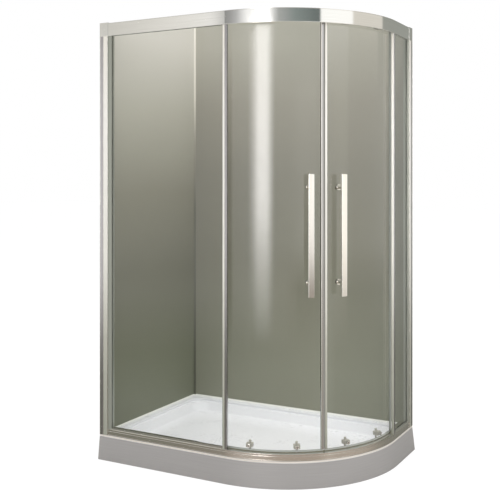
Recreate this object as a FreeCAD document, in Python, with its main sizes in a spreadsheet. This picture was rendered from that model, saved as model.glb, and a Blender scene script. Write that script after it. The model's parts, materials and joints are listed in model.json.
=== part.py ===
"""Quadrant shower enclosure: low tray with a skirt, framed curved screen, two sliding curved doors.

Plan view: the back corner of the two walls is the plan zero, the long wall runs along +X, the short
wall along -Y, and the curved front faces +X/-Y.  The model's own origin is the middle of its
bounding box at floor level, +Z up.  Lengths are millimetres, angles are degrees.
"""
import FreeCAD, Part

import math
import os

import Sketcher

V = FreeCAD.Vector
DOC = FreeCAD.newDocument("QuadrantEnclosure")
SHEET = DOC.addObject("Spreadsheet::Sheet", "Sizes")
NODES = []

DRIVING = {
    # tray and skirt
    "tray_length": 1200,
    "tray_width": 800,
    "corner_radius": 550,
    "tray_height": 110,
    "rim_width": 62,
    "back_rim": 40,
    "rim_lip": 8,
    "rim_wall": 8,
    "apron_setback": 5,
    "apron_depth": 30,
    "tray_wall": 6,
    "basin_step": 12,
    "basin_depth": 52,
    "basin_ledge": 14,
    "basin_slope": 24,
    "basin_corner": 70,
    "floor_round": 10,
    "edge_round": 4,
    "lip_round": 2.5,
    "skirt_flare": 12,
    "skirt_wall": 3,
    "skirt_gap": 0.5,
    "clip_width": 30,
    "clip_depth": 24,
    "clip_height": 18,
    # support frame and feet
    "frame_bar": 20,
    "frame_margin": 130,
    "frame_front_margin": 150,
    "waste_bay": 140,
    "frame_tail": 260,
    "pad_radius": 25,
    "pad_height": 8,
    "stud_radius": 6,
    "stud_clearance": 0.2,
    "stud_bite": 15,
    "foot_nut_radius": 11,
    "foot_nut_height": 8,
    # waste
    "waste_from_front": 180,
    "waste_flange_radius": 45,
    "waste_hole_radius": 36,
    "waste_recess": 3,
    "cover_radius": 40,
    "cover_height": 4,
    "waste_wall": 3,
    "trap_radius": 52,
    "trap_floor_gap": 4,
    "outlet_radius": 20,
    "outlet_bore": 17,
    "outlet_collar": 6,
    "outlet_length": 60,
    # screen frame
    "screen_height": 1850,
    "frame_inset": 1,
    "rail_wall": 2,
    "rail_depth": 56,
    "bottom_rail_height": 28,
    "top_rail_height": 58,
    "rail_return": 12,
    "ledge_reach": 44,
    "ledge_drop": 28,
    "profile_width": 45,
    "profile_depth": 25,
    "profile_wall": 2,
    "jamb_gap": 0.5,
    "jamb_show": 20,
    "jamb_entry": 25,
    "cap_height": 3,
    "wall_hole_radius": 2.5,
    # glass
    "glass": 5,
    "fixed_glass_inset": 5,
    "glass_gap": 0.5,
    "glass_bite": 13,
    "mullion_width": 20,
    "mullion_depth": 10.5,
    "pane_past_line": 2,
    "bead_height": 10,
    "bead_wall": 1.5,
    "panel_wall": 5,
    "panel_gap": 0.5,
    "panel_rise": 120,
    "panel_level_left": 150,
    "panel_level_rear": 700,
    "corner_bead": 8,
    "bead_leg": 1.5,
    # doors
    "door_layer": 27,
    "meeting_gap": 0.35,
    "magnet_width": 3,
    "meeting_width": 10,
    "meeting_wall": 2.5,
    "meeting_bite": 7,
    "slot_fit": 0.1,
    "door_overlap": 14,
    "door_seal": 7,
    "drip_height": 6,
    "door_bottom_gap": 9,
    "door_top_gap": 4,
    "front_roller": 113,
    "rear_roller": 315,
    "swing_shift": 150,
    "swing_left": 21.5,
    "swing_right": 12.6,
    # rollers
    "wheel_inset": 12.5,
    "wheel_width": 5,
    "top_wheel_radius": 11,
    "bottom_wheel_radius": 9,
    "wheel_gap": 0.3,
    "wheel_bevel": 0.6,
    "axle_radius": 2,
    "axle_fit": 0.05,
    "axle_head": 1.2,
    "axle_head_radius": 3.6,
    "arm_swing_spare": 3,
    "edge_gap": 1,
    "arm_wall": 3,
    "arm_width": 12,
    "block_width": 26,
    "block_height": 16,
    "bracket_lift": 4,
    "stem_radius": 3.5,
    "stem_fit": 0.15,
    "button_radius": 5.5,
    "button_height": 5,
    "button_travel": 4.5,
    "bolt_radius": 3,
    "bolt_fit": 0.5,
    "bolt_bite": 10,
    "bolt_cap_radius": 8,
    "bolt_cap": 2.5,
    "stop_length": 10,
    "stop_height": 16.5,
    "stop_gap": 3,
    # handles
    "handle_offset": 66,
    "handle_height": 780,
    "handle_length": 500,
    "handle_width": 25,
    "handle_thick": 12,
    "handle_round": 2,
    "handle_standoff": 40,
    "post_spacing": 393,
    "post_radius": 7,
    "boss_radius": 12,
    "boss_thick": 3,
    "handle_screw_radius": 3,
    "handle_screw_bite": 15,
}


class Size:
    """A number together with the formula that properties are bound to."""

    def __init__(self, value, text):
        self.value = value
        self.text = text

    def joined(self, sign, other, value):
        return Size(value, f"({self.text} {sign} {other.text})")

    def __add__(self, other):
        other = size(other)
        return self.joined("+", other, self.value + other.value)

    def __radd__(self, other):
        return size(other) + self

    def __sub__(self, other):
        other = size(other)
        return self.joined("-", other, self.value - other.value)

    def __rsub__(self, other):
        return size(other) - self

    def __mul__(self, other):
        other = size(other)
        return self.joined("*", other, self.value * other.value)

    def __rmul__(self, other):
        return size(other) * self

    def __truediv__(self, other):
        other = size(other)
        return self.joined("/", other, self.value / other.value)

    def __neg__(self):
        return size(0) - self


def size(number):
    """A plain number as a Size; a Size stays as it is."""
    if isinstance(number, Size):
        return number
    text = f"{number:.10g}"
    return Size(float(number), f"({text})" if number < 0 else text)


def cosine(angle):
    return Size(math.cos(math.radians(angle.value)), f"cos({angle.text})")


def sine(angle):
    return Size(math.sin(math.radians(angle.value)), f"sin({angle.text})")


def root(area):
    return Size(math.sqrt(area.value), f"sqrt({area.text})")


def fill_sheet():
    """Write each driving size and its alias, and return the sizes by name."""
    for row, (name, number) in enumerate(DRIVING.items(), start=1):
        SHEET.set(f"A{row}", name)
        SHEET.set(f"B{row}", str(number))
        SHEET.setAlias(f"B{row}", name)
    DOC.recompute()
    return {name: Size(float(SHEET.get(name)), f"Sizes.{name}") for name in DRIVING}


S = fill_sheet()
PI = size(math.pi)
EDGE_CATCH = 0.1  # how near an edge lies to the line that it is looked for on
WALL_HOLES = 3  # screw holes in each wall channel
CLIP_SHARES = (1 / 4, 3 / 4)  # where the skirt clips stand along the long straight

# ---------------------------------------------------------------- plan and heights
LENGTH, WIDTH, RADIUS = S["tray_length"], S["tray_width"], S["corner_radius"]
CENTRE_X = (LENGTH + S["skirt_flare"]) / 2
CENTRE_Y = (WIDTH + S["skirt_flare"]) / 2
ARC_X = LENGTH - RADIUS
ARC_Y = RADIUS - WIDTH
RIM = S["tray_height"]
TOP = RIM + S["screen_height"]
PANEL_TOP = TOP + S["panel_rise"]
BASIN_FLOOR = RIM - S["basin_depth"]
TRAY_UNDERSIDE = BASIN_FLOOR - S["tray_wall"]
SKIRT_TOP = RIM - S["rim_lip"] - S["skirt_gap"]

RAIL_TOP = RIM + S["bottom_rail_height"]
RAIL_LIP = RAIL_TOP - S["rail_wall"]
FASCIA_FOOT = TOP - S["top_rail_height"]
LEDGE_TOP = TOP - S["ledge_drop"]
LEDGE_FOOT = LEDGE_TOP - S["rail_wall"]

GLASS_TOP = LEDGE_FOOT - S["door_top_gap"]
DOOR_FOOT = RAIL_TOP + S["door_bottom_gap"]

# ---------------------------------------------------------------- door layers
DOOR_RADIUS = RADIUS - S["door_layer"]
GLASS_OUT = DOOR_RADIUS + S["glass"] / 2
GLASS_IN = DOOR_RADIUS - S["glass"] / 2
WHEEL_CIRCLE = DOOR_RADIUS - S["wheel_inset"]
WHEEL_OUT = WHEEL_CIRCLE + S["wheel_width"] / 2
WHEEL_IN = WHEEL_CIRCLE - S["wheel_width"] / 2
ARM_OUT = WHEEL_IN - S["edge_gap"] * 2
ARM_IN = ARM_OUT - S["arm_wall"]
STEM_CENTRE = ARM_OUT - S["stem_radius"]
BLOCK_IN = STEM_CENTRE - S["stem_radius"] - S["arm_wall"]


def arc_angle(length):
    """Angle at the arc's centre of a length measured along the door glass."""
    return length / DOOR_RADIUS * 180 / PI


MIDDLE = arc_angle((S["front_roller"] + S["rear_roller"]) / 2)
HALF_SPAN = arc_angle((S["rear_roller"] - S["front_roller"]) / 2)
PIVOT_REACH = WHEEL_CIRCLE * cosine(HALF_SPAN) + S["swing_shift"]
PIVOT_SPREAD = WHEEL_CIRCLE * sine(HALF_SPAN)
TRACK_RADIUS = root(PIVOT_REACH * PIVOT_REACH + PIVOT_SPREAD * PIVOT_SPREAD)
BISECTOR = size(-45)
SIDES = {"left": -1, "right": 1}


# ---------------------------------------------------------------- helpers
def bind(obj, **formulas):
    """Bind properties to formulas; a double underscore in a name stands for a dot."""
    for name, formula in formulas.items():
        obj.setExpression(name.replace("__", "."), size(formula).text)
    return obj


def place(obj, x, y, z, turn=None):
    """Bind an object's place, and its turn about the vertical."""
    bind(obj, Placement__Base__x=x, Placement__Base__y=y, Placement__Base__z=z)
    if turn is not None:
        obj.Placement = FreeCAD.Placement(V(0, 0, 0), V(0, 0, 1), size(turn).value)
        bind(obj, Placement__Rotation__Angle=turn)
    return obj


def on_plan(obj, x=0, y=0, z=0, turn=None):
    """Place an object by a point measured from the back corner on the floor."""
    return place(obj, size(x) - CENTRE_X, size(y) + CENTRE_Y, z, turn)


def on_arc(obj, turn=None):
    """Place an object that was drawn about the centre of the curved front."""
    return on_plan(obj, ARC_X, ARC_Y, 0, turn)


def box(name, x0, x1, y0, y1, z0, z1):
    solid = DOC.addObject("Part::Box", name)
    bind(solid, Length=size(x1) - x0, Width=size(y1) - y0, Height=size(z1) - z0)
    return place(solid, x0, y0, z0)


def upright(name, radius, x, y, z0, z1):
    solid = DOC.addObject("Part::Cylinder", name)
    bind(solid, Radius=radius, Height=size(z1) - z0)
    return place(solid, x, y, z0)


def rod(name, radius, x0, x1, y, z):
    """A round bar along X."""
    solid = DOC.addObject("Part::Cylinder", name)
    solid.Placement.Rotation = FreeCAD.Rotation(V(0, 1, 0), 90)
    bind(solid, Radius=radius, Height=size(x1) - x0)
    return place(solid, x0, y, z)


def rod_along_y(name, radius, x, y0, y1, z):
    """A round bar along Y."""
    solid = DOC.addObject("Part::Cylinder", name)
    solid.Placement.Rotation = FreeCAD.Rotation(V(1, 0, 0), -90)
    bind(solid, Radius=radius, Height=size(y1) - y0)
    return place(solid, x, y0, z)


def fuse(name, pieces):
    solid = DOC.addObject("Part::MultiFuse", name)
    solid.Shapes = pieces
    return solid


def cut(name, base, tool):
    solid = DOC.addObject("Part::Cut", name)
    solid.Base = base
    solid.Tool = tool
    return solid


def group(name, pieces):
    """Separate solids that share one node."""
    solids = DOC.addObject("Part::Compound", name)
    solids.Links = pieces
    return solids


def arc_ring(name, inner, outer, z0, z1, start, sweep):
    """A stretch of a ring about the vertical through the object's own zero."""
    parts = []
    for end, radius in (("outer", outer), ("inner", inner)):
        disc = DOC.addObject("Part::Cylinder", f"{name}_{end}")
        bind(disc, Radius=radius, Height=size(z1) - z0, Angle=sweep)
        parts.append(place(disc, size(0), size(0), z0, start))
    return cut(f"{name}_ring", *parts)


def keep(obj, label):
    """Make an object a sub-part of the enclosure under its own label."""
    obj.Label = label
    NODES.append(obj)
    return obj


def body(label):
    return keep(DOC.addObject("PartDesign::Body", label), label)


def sketch(owner, name, plane, height=None):
    """A sketch on one of the body's own origin planes, raised by a height."""
    plan = owner.newObject("Sketcher::SketchObject", name)
    origin = next(part for part in owner.Origin.OriginFeatures if part.Role == plane)
    plan.AttachmentSupport = [(origin, "")]
    plan.MapMode = "FlatFace"
    if height is not None:
        bind(plan, AttachmentOffset__Base__z=height)
    return plan


def pin_point(plan, edge, end, point):
    """Hold the end of an edge at a bound distance from the sketch's zero."""
    for kind, distance in zip(("DistanceX", "DistanceY"), point):
        index = plan.addConstraint(
            Sketcher.Constraint(kind, -1, 1, edge, end, distance.value)
        )
        plan.setExpression(f"Constraints[{index}]", distance.text)


def draw_outline(plan, corners, arcs=None):
    """Draw a closed outline.  arcs gives an edge's centre, radius and turn (+1 is anticlockwise)."""
    arcs = arcs or {}
    corners = [(size(x), size(y)) for x, y in corners]
    starts = []
    ends = []
    for number, (first, last) in enumerate(zip(corners, corners[1:] + corners[:1])):
        if number in arcs:
            (mid_x, mid_y), radius, turn = arcs[number]
            mid_x, mid_y, radius = size(mid_x), size(mid_y), size(radius)
            circle = Part.Circle(V(mid_x.value, mid_y.value, 0), V(0, 0, 1), radius.value)
            low, high = (first, last) if turn > 0 else (last, first)
            angles = [
                math.atan2(y.value - mid_y.value, x.value - mid_x.value) for x, y in (low, high)
            ]
            if angles[1] <= angles[0]:
                angles[1] += 2 * math.pi
            edge = plan.addGeometry(Part.ArcOfCircle(circle, *angles), False)
            index = plan.addConstraint(Sketcher.Constraint("Radius", edge, radius.value))
            plan.setExpression(f"Constraints[{index}]", radius.text)
            start, end = (1, 2) if turn > 0 else (2, 1)
        else:
            ends_of_line = [V(x.value, y.value, 0) for x, y in (first, last)]
            edge = plan.addGeometry(Part.LineSegment(*ends_of_line), False)
            start, end = 1, 2
        starts.append((edge, start))
        ends.append((edge, end))
    joins = zip(ends, starts[1:] + starts[:1], corners[1:] + corners[:1])
    for (edge, end), (next_edge, start), corner in joins:
        plan.addConstraint(Sketcher.Constraint("Coincident", edge, end, next_edge, start))
        pin_point(plan, next_edge, start, corner)


def draw_circle(plan, x, y, radius):
    x, y, radius = size(x), size(y), size(radius)
    circle = Part.Circle(V(x.value, y.value, 0), V(0, 0, 1), radius.value)
    edge = plan.addGeometry(circle, False)
    index = plan.addConstraint(Sketcher.Constraint("Radius", edge, radius.value))
    plan.setExpression(f"Constraints[{index}]", radius.text)
    pin_point(plan, edge, 3, (x, y))


def rectangle(x0, x1, y0, y1):
    return [(x0, y0), (x1, y0), (x1, y1), (x0, y1)]


def front_band(outer, inner, start, stop):
    """Plan of a band along the front between two insets, as corners and arcs.

    It runs from x = start on the long straight, round the curve, to y = -stop on the short straight.
    """
    corners = [
        (start, outer - WIDTH),
        (ARC_X, outer - WIDTH),
        (LENGTH - outer, ARC_Y),
        (LENGTH - outer, -stop),
        (LENGTH - inner, -stop),
        (LENGTH - inner, ARC_Y),
        (ARC_X, inner - WIDTH),
        (start, inner - WIDTH),
    ]
    centre = (ARC_X, ARC_Y)
    return corners, {1: (centre, RADIUS - outer, 1), 5: (centre, RADIUS - inner, -1)}


def tray_outline(front, back):
    """Plan of the whole tray, inset from the front edge and from the two walls."""
    corners = [
        (back, -back),
        (back, front - WIDTH),
        (ARC_X, front - WIDTH),
        (LENGTH - front, ARC_Y),
        (LENGTH - front, -back),
    ]
    return corners, {2: ((ARC_X, ARC_Y), RADIUS - front, 1)}


def basin_outline(inset):
    """Plan of the basin, with rounded inner corners, inset evenly from the rim's inner edge."""
    front = S["rim_width"] + inset
    back = S["back_rim"] + inset
    bend = S["basin_corner"]
    corners = [
        (back, -(back + bend)),
        (back, front + bend - WIDTH),
        (back + bend, front - WIDTH),
        (ARC_X, front - WIDTH),
        (LENGTH - front, ARC_Y),
        (LENGTH - front, -(back + bend)),
        (LENGTH - front - bend, -back),
        (back + bend, -back),
    ]
    arcs = {
        1: ((back + bend, front + bend - WIDTH), bend, 1),
        3: ((ARC_X, ARC_Y), RADIUS - front, 1),
        5: ((LENGTH - front - bend, -(back + bend)), bend, 1),
        7: ((back + bend, -(back + bend)), bend, 1),
    }
    return corners, arcs


def pad(owner, name, height, length, *outlines):
    """Pad outlines upwards from a height."""
    plan = sketch(owner, f"{name}_plan", "XY_Plane", height)
    for corners, arcs in outlines:
        draw_outline(plan, corners, arcs)
    solid = owner.newObject("PartDesign::Pad", name)
    solid.Profile = plan
    return bind(solid, Length=length)


def pocket(owner, name, height, depth, *outlines):
    """Cut outlines downwards from a height."""
    plan = sketch(owner, f"{name}_plan", "XY_Plane", height)
    for corners, arcs in outlines:
        draw_outline(plan, corners, arcs)
    hollow = owner.newObject("PartDesign::Pocket", name)
    hollow.Profile = plan
    return bind(hollow, Length=depth)


def round_pocket(owner, name, height, depth, x, y, radius):
    """Cut a round hole downwards from a height."""
    plan = sketch(owner, f"{name}_plan", "XY_Plane", height)
    draw_circle(plan, x, y, radius)
    hollow = owner.newObject("PartDesign::Pocket", name)
    hollow.Profile = plan
    return bind(hollow, Length=depth)


def round_edges(owner, name, radius, wanted):
    """Fillet the edges of the body's last feature whose middle and ends satisfy a test."""
    DOC.recompute()
    last = owner.Tip
    edges = [f"Edge{number}" for number, edge in enumerate(last.Shape.Edges, start=1) if wanted(edge)]
    rounding = owner.newObject("PartDesign::Fillet", name)
    rounding.Base = (last, edges)
    return bind(rounding, Radius=radius)


def level_edge(edge, height):
    """True for an edge that lies flat at a height."""
    return max(abs(vertex.Point.z - height.value) for vertex in edge.Vertexes) < EDGE_CATCH


def inset_of(point):
    """How far inside the tray's front edge a point of the plan lies."""
    x, y = point.x - ARC_X.value, point.y - ARC_Y.value
    if x > 0 and y < 0:
        return RADIUS.value - math.hypot(x, y)
    return min(LENGTH.value - point.x, point.y + WIDTH.value)


def turned(label, corners, axis):
    """A turned piece: a half section in X and Z, turned about X ("H_Axis") or Z ("V_Axis")."""
    owner = body(label)
    plan = sketch(owner, f"{label}_section", "XZ_Plane")
    draw_outline(plan, corners)
    solid = owner.newObject("PartDesign::Revolution", f"{label}_turned")
    solid.Profile = plan
    solid.ReferenceAxis = (plan, [axis])
    solid.Angle = 360
    return owner


# ---------------------------------------------------------------- tray, skirt and what is under them
WASTE_X = ARC_X + (RADIUS - S["waste_from_front"]) * cosine(BISECTOR)
WASTE_Y = ARC_Y + (RADIUS - S["waste_from_front"]) * sine(BISECTOR)
WAIST = WASTE_X - S["waste_bay"]


def basin_edges(inset, height):
    """A test for the edges of one of the basin's outlines."""
    back = (S["back_rim"] + inset).value - EDGE_CATCH
    front = (S["rim_width"] + inset).value - EDGE_CATCH
    return lambda edge: level_edge(edge, height) and all(
        vertex.X > back and vertex.Y < -back and inset_of(vertex.Point) > front
        for vertex in edge.Vertexes
    )


def lip_edges(edge):
    """True for the front edges of the tray's lip."""
    middle = edge.valueAt((edge.FirstParameter + edge.LastParameter) / 2)
    return level_edge(edge, RIM) and abs(inset_of(middle)) < EDGE_CATCH


def make_tray():
    """Moulded tray: lip, apron behind the skirt, stepped basin and waste hole."""
    tray = body("tray")
    apron_top = RIM - S["rim_lip"]
    apron_foot = apron_top - S["apron_depth"]
    wall = S["tray_wall"]
    setback = S["apron_setback"]
    core = tray_outline(S["rim_width"] - wall, S["back_rim"] - wall)
    pad(tray, "tray_lip", apron_top, S["rim_lip"], tray_outline(size(0), size(0)))
    pad(tray, "tray_apron", apron_foot, S["apron_depth"], tray_outline(setback, size(0)))
    pad(tray, "tray_basin", TRAY_UNDERSIDE, apron_foot - TRAY_UNDERSIDE, core)
    hollow_top = RIM - S["rim_wall"]
    pocket(tray, "tray_under_rim", hollow_top, hollow_top - apron_foot,
           tray_outline(setback + wall, wall), core)
    pocket(tray, "tray_ledge", RIM, S["basin_step"], basin_outline(size(0)))
    step_top = sketch(tray, "basin_top_plan", "XY_Plane", RIM - S["basin_step"])
    draw_outline(step_top, *basin_outline(S["basin_ledge"]))
    step_foot = sketch(tray, "basin_floor_plan", "XY_Plane", BASIN_FLOOR)
    draw_outline(step_foot, *basin_outline(S["basin_ledge"] + S["basin_slope"]))
    basin = tray.newObject("PartDesign::SubtractiveLoft", "basin")
    basin.Profile = step_top
    basin.Sections = [step_foot]
    basin.Ruled = True
    round_edges(tray, "floor_round", S["floor_round"],
                basin_edges(S["basin_ledge"] + S["basin_slope"], BASIN_FLOOR))
    round_edges(tray, "ledge_round", S["edge_round"],
                basin_edges(S["basin_ledge"], RIM - S["basin_step"]))
    round_edges(tray, "basin_round", S["edge_round"], basin_edges(size(0), RIM))
    round_edges(tray, "lip_round", S["lip_round"], lip_edges)
    round_pocket(tray, "waste_seat", BASIN_FLOOR, S["waste_recess"], WASTE_X, WASTE_Y,
                 S["waste_flange_radius"] + S["glass_gap"])
    round_pocket(tray, "waste_hole", BASIN_FLOOR, S["basin_depth"], WASTE_X, WASTE_Y,
                 S["waste_hole_radius"] + S["glass_gap"])
    on_plan(tray)


def make_skirt():
    """Front panel under the tray's lip, flared outwards at the floor."""
    skirt = body("skirt_panel")
    wall = S["skirt_wall"]
    foot = sketch(skirt, "skirt_foot_plan", "XY_Plane")
    draw_outline(foot, *front_band(-S["skirt_flare"], wall - S["skirt_flare"], size(0), size(0)))
    head = sketch(skirt, "skirt_head_plan", "XY_Plane", SKIRT_TOP)
    draw_outline(head, *front_band(size(0), wall, size(0), size(0)))
    shell = skirt.newObject("PartDesign::AdditiveLoft", "skirt_shell")
    shell.Profile = foot
    shell.Sections = [head]
    shell.Ruled = True
    on_plan(skirt)


def make_skirt_clips():
    """Clips screwed under the tray's apron that hold the skirt's upper edge."""
    top = RIM - S["rim_lip"] - S["apron_depth"]
    foot = top - S["clip_height"]
    front = S["skirt_wall"] + S["skirt_gap"]
    half = S["clip_width"] / 2
    out = RADIUS - front - S["skirt_gap"]
    clips = [
        box(f"clip_straight_{number}", x - half, x + half, front - WIDTH,
            front + S["clip_depth"] - WIDTH, foot, top)
        for number, x in enumerate(ARC_X * share for share in CLIP_SHARES)
    ]
    for number, share in enumerate((1, 2)):
        block = box(f"clip_block_{number}", out - S["clip_depth"], out, -half, half, foot, top)
        clip = group(f"clip_curved_{number}", [block])
        clips.append(place(clip, ARC_X, ARC_Y, 0, BISECTOR * 2 * share / 3))
    clips.append(box("clip_short", LENGTH - front - S["clip_depth"], LENGTH - front,
                     ARC_Y / 2 - half, ARC_Y / 2 + half, foot, top))
    on_plan(keep(group("skirt_clips", clips), "skirt_clips"))


def foot_spots():
    """Where the six feet stand, measured from the back corner."""
    margin = S["frame_margin"]
    front = S["frame_front_margin"] - WIDTH
    return [
        (margin, -margin),
        (WAIST, -margin),
        (LENGTH - margin, -margin),
        (margin, front),
        (WAIST, front),
        (LENGTH - margin, -(margin + S["frame_tail"])),
    ]


def make_tray_frame():
    """Square-tube frame that the tray's floor lies on, drilled for the feet."""
    half = S["frame_bar"] / 2
    foot = TRAY_UNDERSIDE - S["frame_bar"]
    margin = S["frame_margin"]
    front = S["frame_front_margin"] - WIDTH
    tail = LENGTH - margin
    bars = [
        ("rear", margin - half, tail + half, -margin - half, -margin + half),
        ("front", margin - half, WAIST + half, front - half, front + half),
        ("short", margin - half, margin + half, front + half, -margin - half),
        ("waist", WAIST - half, WAIST + half, front + half, -margin - half),
        ("tail", tail - half, tail + half, -(margin + S["frame_tail"]) - half, -margin - half),
    ]
    solids = [box(f"bar_{name}", *spot, foot, TRAY_UNDERSIDE) for name, *spot in bars]
    frame = fuse("frame_bars", solids)
    holes = group("frame_holes", [
        upright(f"foot_hole_{number}", S["stud_radius"] + S["stud_clearance"], x, y, foot,
                foot + S["stud_bite"])
        for number, (x, y) in enumerate(foot_spots())
    ])
    on_plan(keep(cut("tray_frame", frame, holes), "tray_frame"))


def make_feet():
    """Levelling feet: a pad, a lock nut under the bar and a threaded stud, one solid each."""
    frame_foot = TRAY_UNDERSIDE - S["frame_bar"]
    feet = []
    for number, (x, y) in enumerate(foot_spots()):
        feet.append(fuse(f"foot_{number}", [
            upright(f"foot_pad_{number}", S["pad_radius"], x, y, 0, S["pad_height"]),
            upright(f"foot_nut_{number}", S["foot_nut_radius"], x, y,
                    frame_foot - S["foot_nut_height"], frame_foot),
            upright(f"foot_stud_{number}", S["stud_radius"], x, y, S["pad_height"] / 2,
                    frame_foot + S["stud_bite"] - S["wheel_gap"]),
        ]))
    on_plan(keep(group("levelling_feet", feet), "levelling_feet"))


def make_waste():
    """Flange in the tray floor, trap and outlet below it, and a cover that lifts out."""
    seat = BASIN_FLOOR - S["waste_recess"]
    rim = S["waste_flange_radius"]
    neck = S["waste_hole_radius"]
    wall = S["waste_wall"]
    flange = turned("waste_flange", [
        (neck - wall, TRAY_UNDERSIDE),
        (neck, TRAY_UNDERSIDE),
        (neck, seat),
        (rim, seat),
        (rim, seat + S["waste_recess"] / 2),
        (neck - wall, seat + S["waste_recess"] / 2),
    ], "V_Axis")
    on_plan(flange, WASTE_X, WASTE_Y)
    cover_foot = seat + S["waste_recess"] / 2 + S["wheel_gap"]
    cover = turned("waste_cover", [
        (0, cover_foot - S["waste_recess"]),
        (neck - wall * 2, cover_foot - S["waste_recess"]),
        (neck - wall * 2, cover_foot),
        (S["cover_radius"], cover_foot),
        (S["cover_radius"], cover_foot + S["cover_height"] / 2),
        (neck - wall * 2, cover_foot + S["cover_height"]),
        (0, cover_foot + S["cover_height"]),
    ], "V_Axis")
    on_plan(cover, WASTE_X, WASTE_Y)
    foot = S["trap_floor_gap"]
    middle = (foot + TRAY_UNDERSIDE) / 2
    collar = S["trap_radius"] + S["outlet_collar"]
    reach = collar + S["outlet_length"]
    shell = fuse("trap_shell", [
        upright("trap_outside", S["trap_radius"], 0, 0, foot, TRAY_UNDERSIDE),
        rod_along_y("outlet_collar", S["outlet_radius"] + wall, 0, 0, collar, middle),
        rod_along_y("outlet_outside", S["outlet_radius"], 0, 0, reach, middle),
    ])
    hollow = group("trap_hollow", [
        upright("trap_inside", S["trap_radius"] - wall, 0, 0, foot + wall, TRAY_UNDERSIDE + wall),
        rod_along_y("outlet_inside", S["outlet_bore"], 0, 0, reach + wall, middle),
    ])
    on_plan(keep(cut("waste_trap", shell, hollow), "waste_trap"), WASTE_X, WASTE_Y)


# ---------------------------------------------------------------- screen frame
def wheel_sector(side, radius, spare):
    """Pie slice about a door's pivot that clears the roller arms, as corners and arcs."""
    sign = SIDES[side]
    middle = BISECTOR + MIDDLE * sign
    pivot_x = ARC_X - S["swing_shift"] * cosine(middle)
    pivot_y = ARC_Y - S["swing_shift"] * sine(middle)
    span = PIVOT_SPREAD / TRACK_RADIUS * 180 / PI + spare
    travel = S[f"swing_{side}"]
    near = middle - (span + (travel if sign < 0 else size(0)))
    far = middle + (span + (travel if sign > 0 else size(0)))
    tips = [(pivot_x + radius * cosine(turn), pivot_y + radius * sine(turn)) for turn in (near, far)]
    return [(pivot_x, pivot_y), *tips], {1: ((pivot_x, pivot_y), radius, 1)}


def cut_ledge(rail, name, top):
    """Trim a rail's ledge back to the circles that the roller arms follow."""
    for side in SIDES:
        edge = TRACK_RADIUS - S["wheel_width"] / 2 - S["edge_gap"]
        pocket(rail, f"{name}_{side}", top, S["rail_wall"], wheel_sector(side, edge, S["arm_swing_spare"]))


def make_bottom_rail():
    """Open channel on the tray rim; its lip holds the lower wheels down."""
    rail = body("bottom_rail")
    out = S["frame_inset"]
    wall = S["rail_wall"]
    back = out + S["rail_depth"]
    ends = (S["profile_width"], S["profile_width"])
    pad(rail, "sill_floor", RIM, wall, front_band(out, back, *ends))
    pad(rail, "sill_front", RIM, S["bottom_rail_height"], front_band(out, out + wall, *ends))
    pad(rail, "sill_upstand", RIM, S["rail_return"], front_band(back - wall / 2, back, *ends))
    pad(rail, "sill_lip", RAIL_LIP, wall, front_band(out, out + S["ledge_reach"], *ends))
    cut_ledge(rail, "sill_track", RAIL_TOP)
    on_plan(rail)


def make_top_rail():
    """Head rail: fascia, cover and the ledge that the upper wheels roll on."""
    rail = body("top_rail")
    out = S["frame_inset"]
    wall = S["rail_wall"]
    back = out + S["rail_depth"]
    ends = (S["profile_width"], S["profile_width"])
    pad(rail, "head_cover", TOP - wall, wall, front_band(out, back, *ends))
    pad(rail, "head_fascia", FASCIA_FOOT, S["top_rail_height"], front_band(out, out + wall, *ends))
    pad(rail, "head_return", TOP - S["rail_return"], S["rail_return"],
        front_band(back - wall / 2, back, *ends))
    pad(rail, "head_ledge", LEDGE_FOOT, wall, front_band(out, out + S["ledge_reach"], *ends))
    cut_ledge(rail, "head_track", LEDGE_TOP)
    on_plan(rail)


def channel(depth, wall, length):
    """Plan of a channel open towards +X, its web on X = 0, its depth along +Y."""
    return [
        (size(0), size(0)),
        (length, size(0)),
        (length, wall),
        (wall, wall),
        (wall, depth - wall),
        (length, depth - wall),
        (length, depth),
        (size(0), depth),
    ]


def jamb_plan():
    """Plans of the jamb: its outside, with the slot for the glass, and its hollow."""
    wall = S["profile_wall"]
    depth = S["profile_depth"] - wall * 2 - S["jamb_gap"] * 2
    reach = S["jamb_entry"] + S["jamb_show"]
    slot = S["glass"] + S["glass_gap"] * 2
    bottom = reach - S["glass_bite"] - S["glass_gap"]
    outside = [
        (size(0), size(0)),
        (reach, size(0)),
        (reach, wall),
        (bottom, wall),
        (bottom, wall + slot),
        (reach, wall + slot),
        (reach, depth),
        (size(0), depth),
    ]
    return outside, rectangle(wall, bottom - wall, wall, depth - wall)


def stand_profile(owner, name, plans, z0, z1, side, along, inset):
    """Extrude plans drawn for the left wall, or their mirror image for the right wall."""
    outlines = []
    for corners in plans:
        if side == "left":
            outline = [(along + x, inset + y - WIDTH) for x, y in corners]
        else:
            outline = [(LENGTH - inset - y, -along - x) for x, y in corners]
        outlines.append((outline, None))
    pad(owner, name, z0, z1 - z0, *outlines)
    on_plan(owner)


def make_wall_sides():
    """Channels on the walls, jambs inside them that hold the fixed glass, and caps on top."""
    wall = S["profile_wall"]
    jamb_from = S["profile_width"] - S["jamb_entry"]
    caps = []
    for side in SIDES:
        profile = body(f"wall_profile_{side}")
        plan = channel(S["profile_depth"], wall, S["profile_width"])
        stand_profile(profile, f"channel_{side}", [plan], RIM, TOP, side, size(0), size(0))
        jamb = body(f"jamb_{side}")
        stand_profile(jamb, f"jamb_bar_{side}", jamb_plan(), RAIL_TOP, FASCIA_FOOT, side, jamb_from,
                      wall + S["jamb_gap"])
        cap = (size(0), S["profile_width"], -WIDTH, S["profile_depth"] - WIDTH)
        if side == "right":
            cap = (LENGTH - S["profile_depth"], LENGTH, -S["profile_width"], size(0))
        caps.append(box(f"cap_{side}", *cap, TOP, TOP + S["cap_height"]))
    on_plan(keep(group("profile_caps", caps), "profile_caps"))


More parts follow.
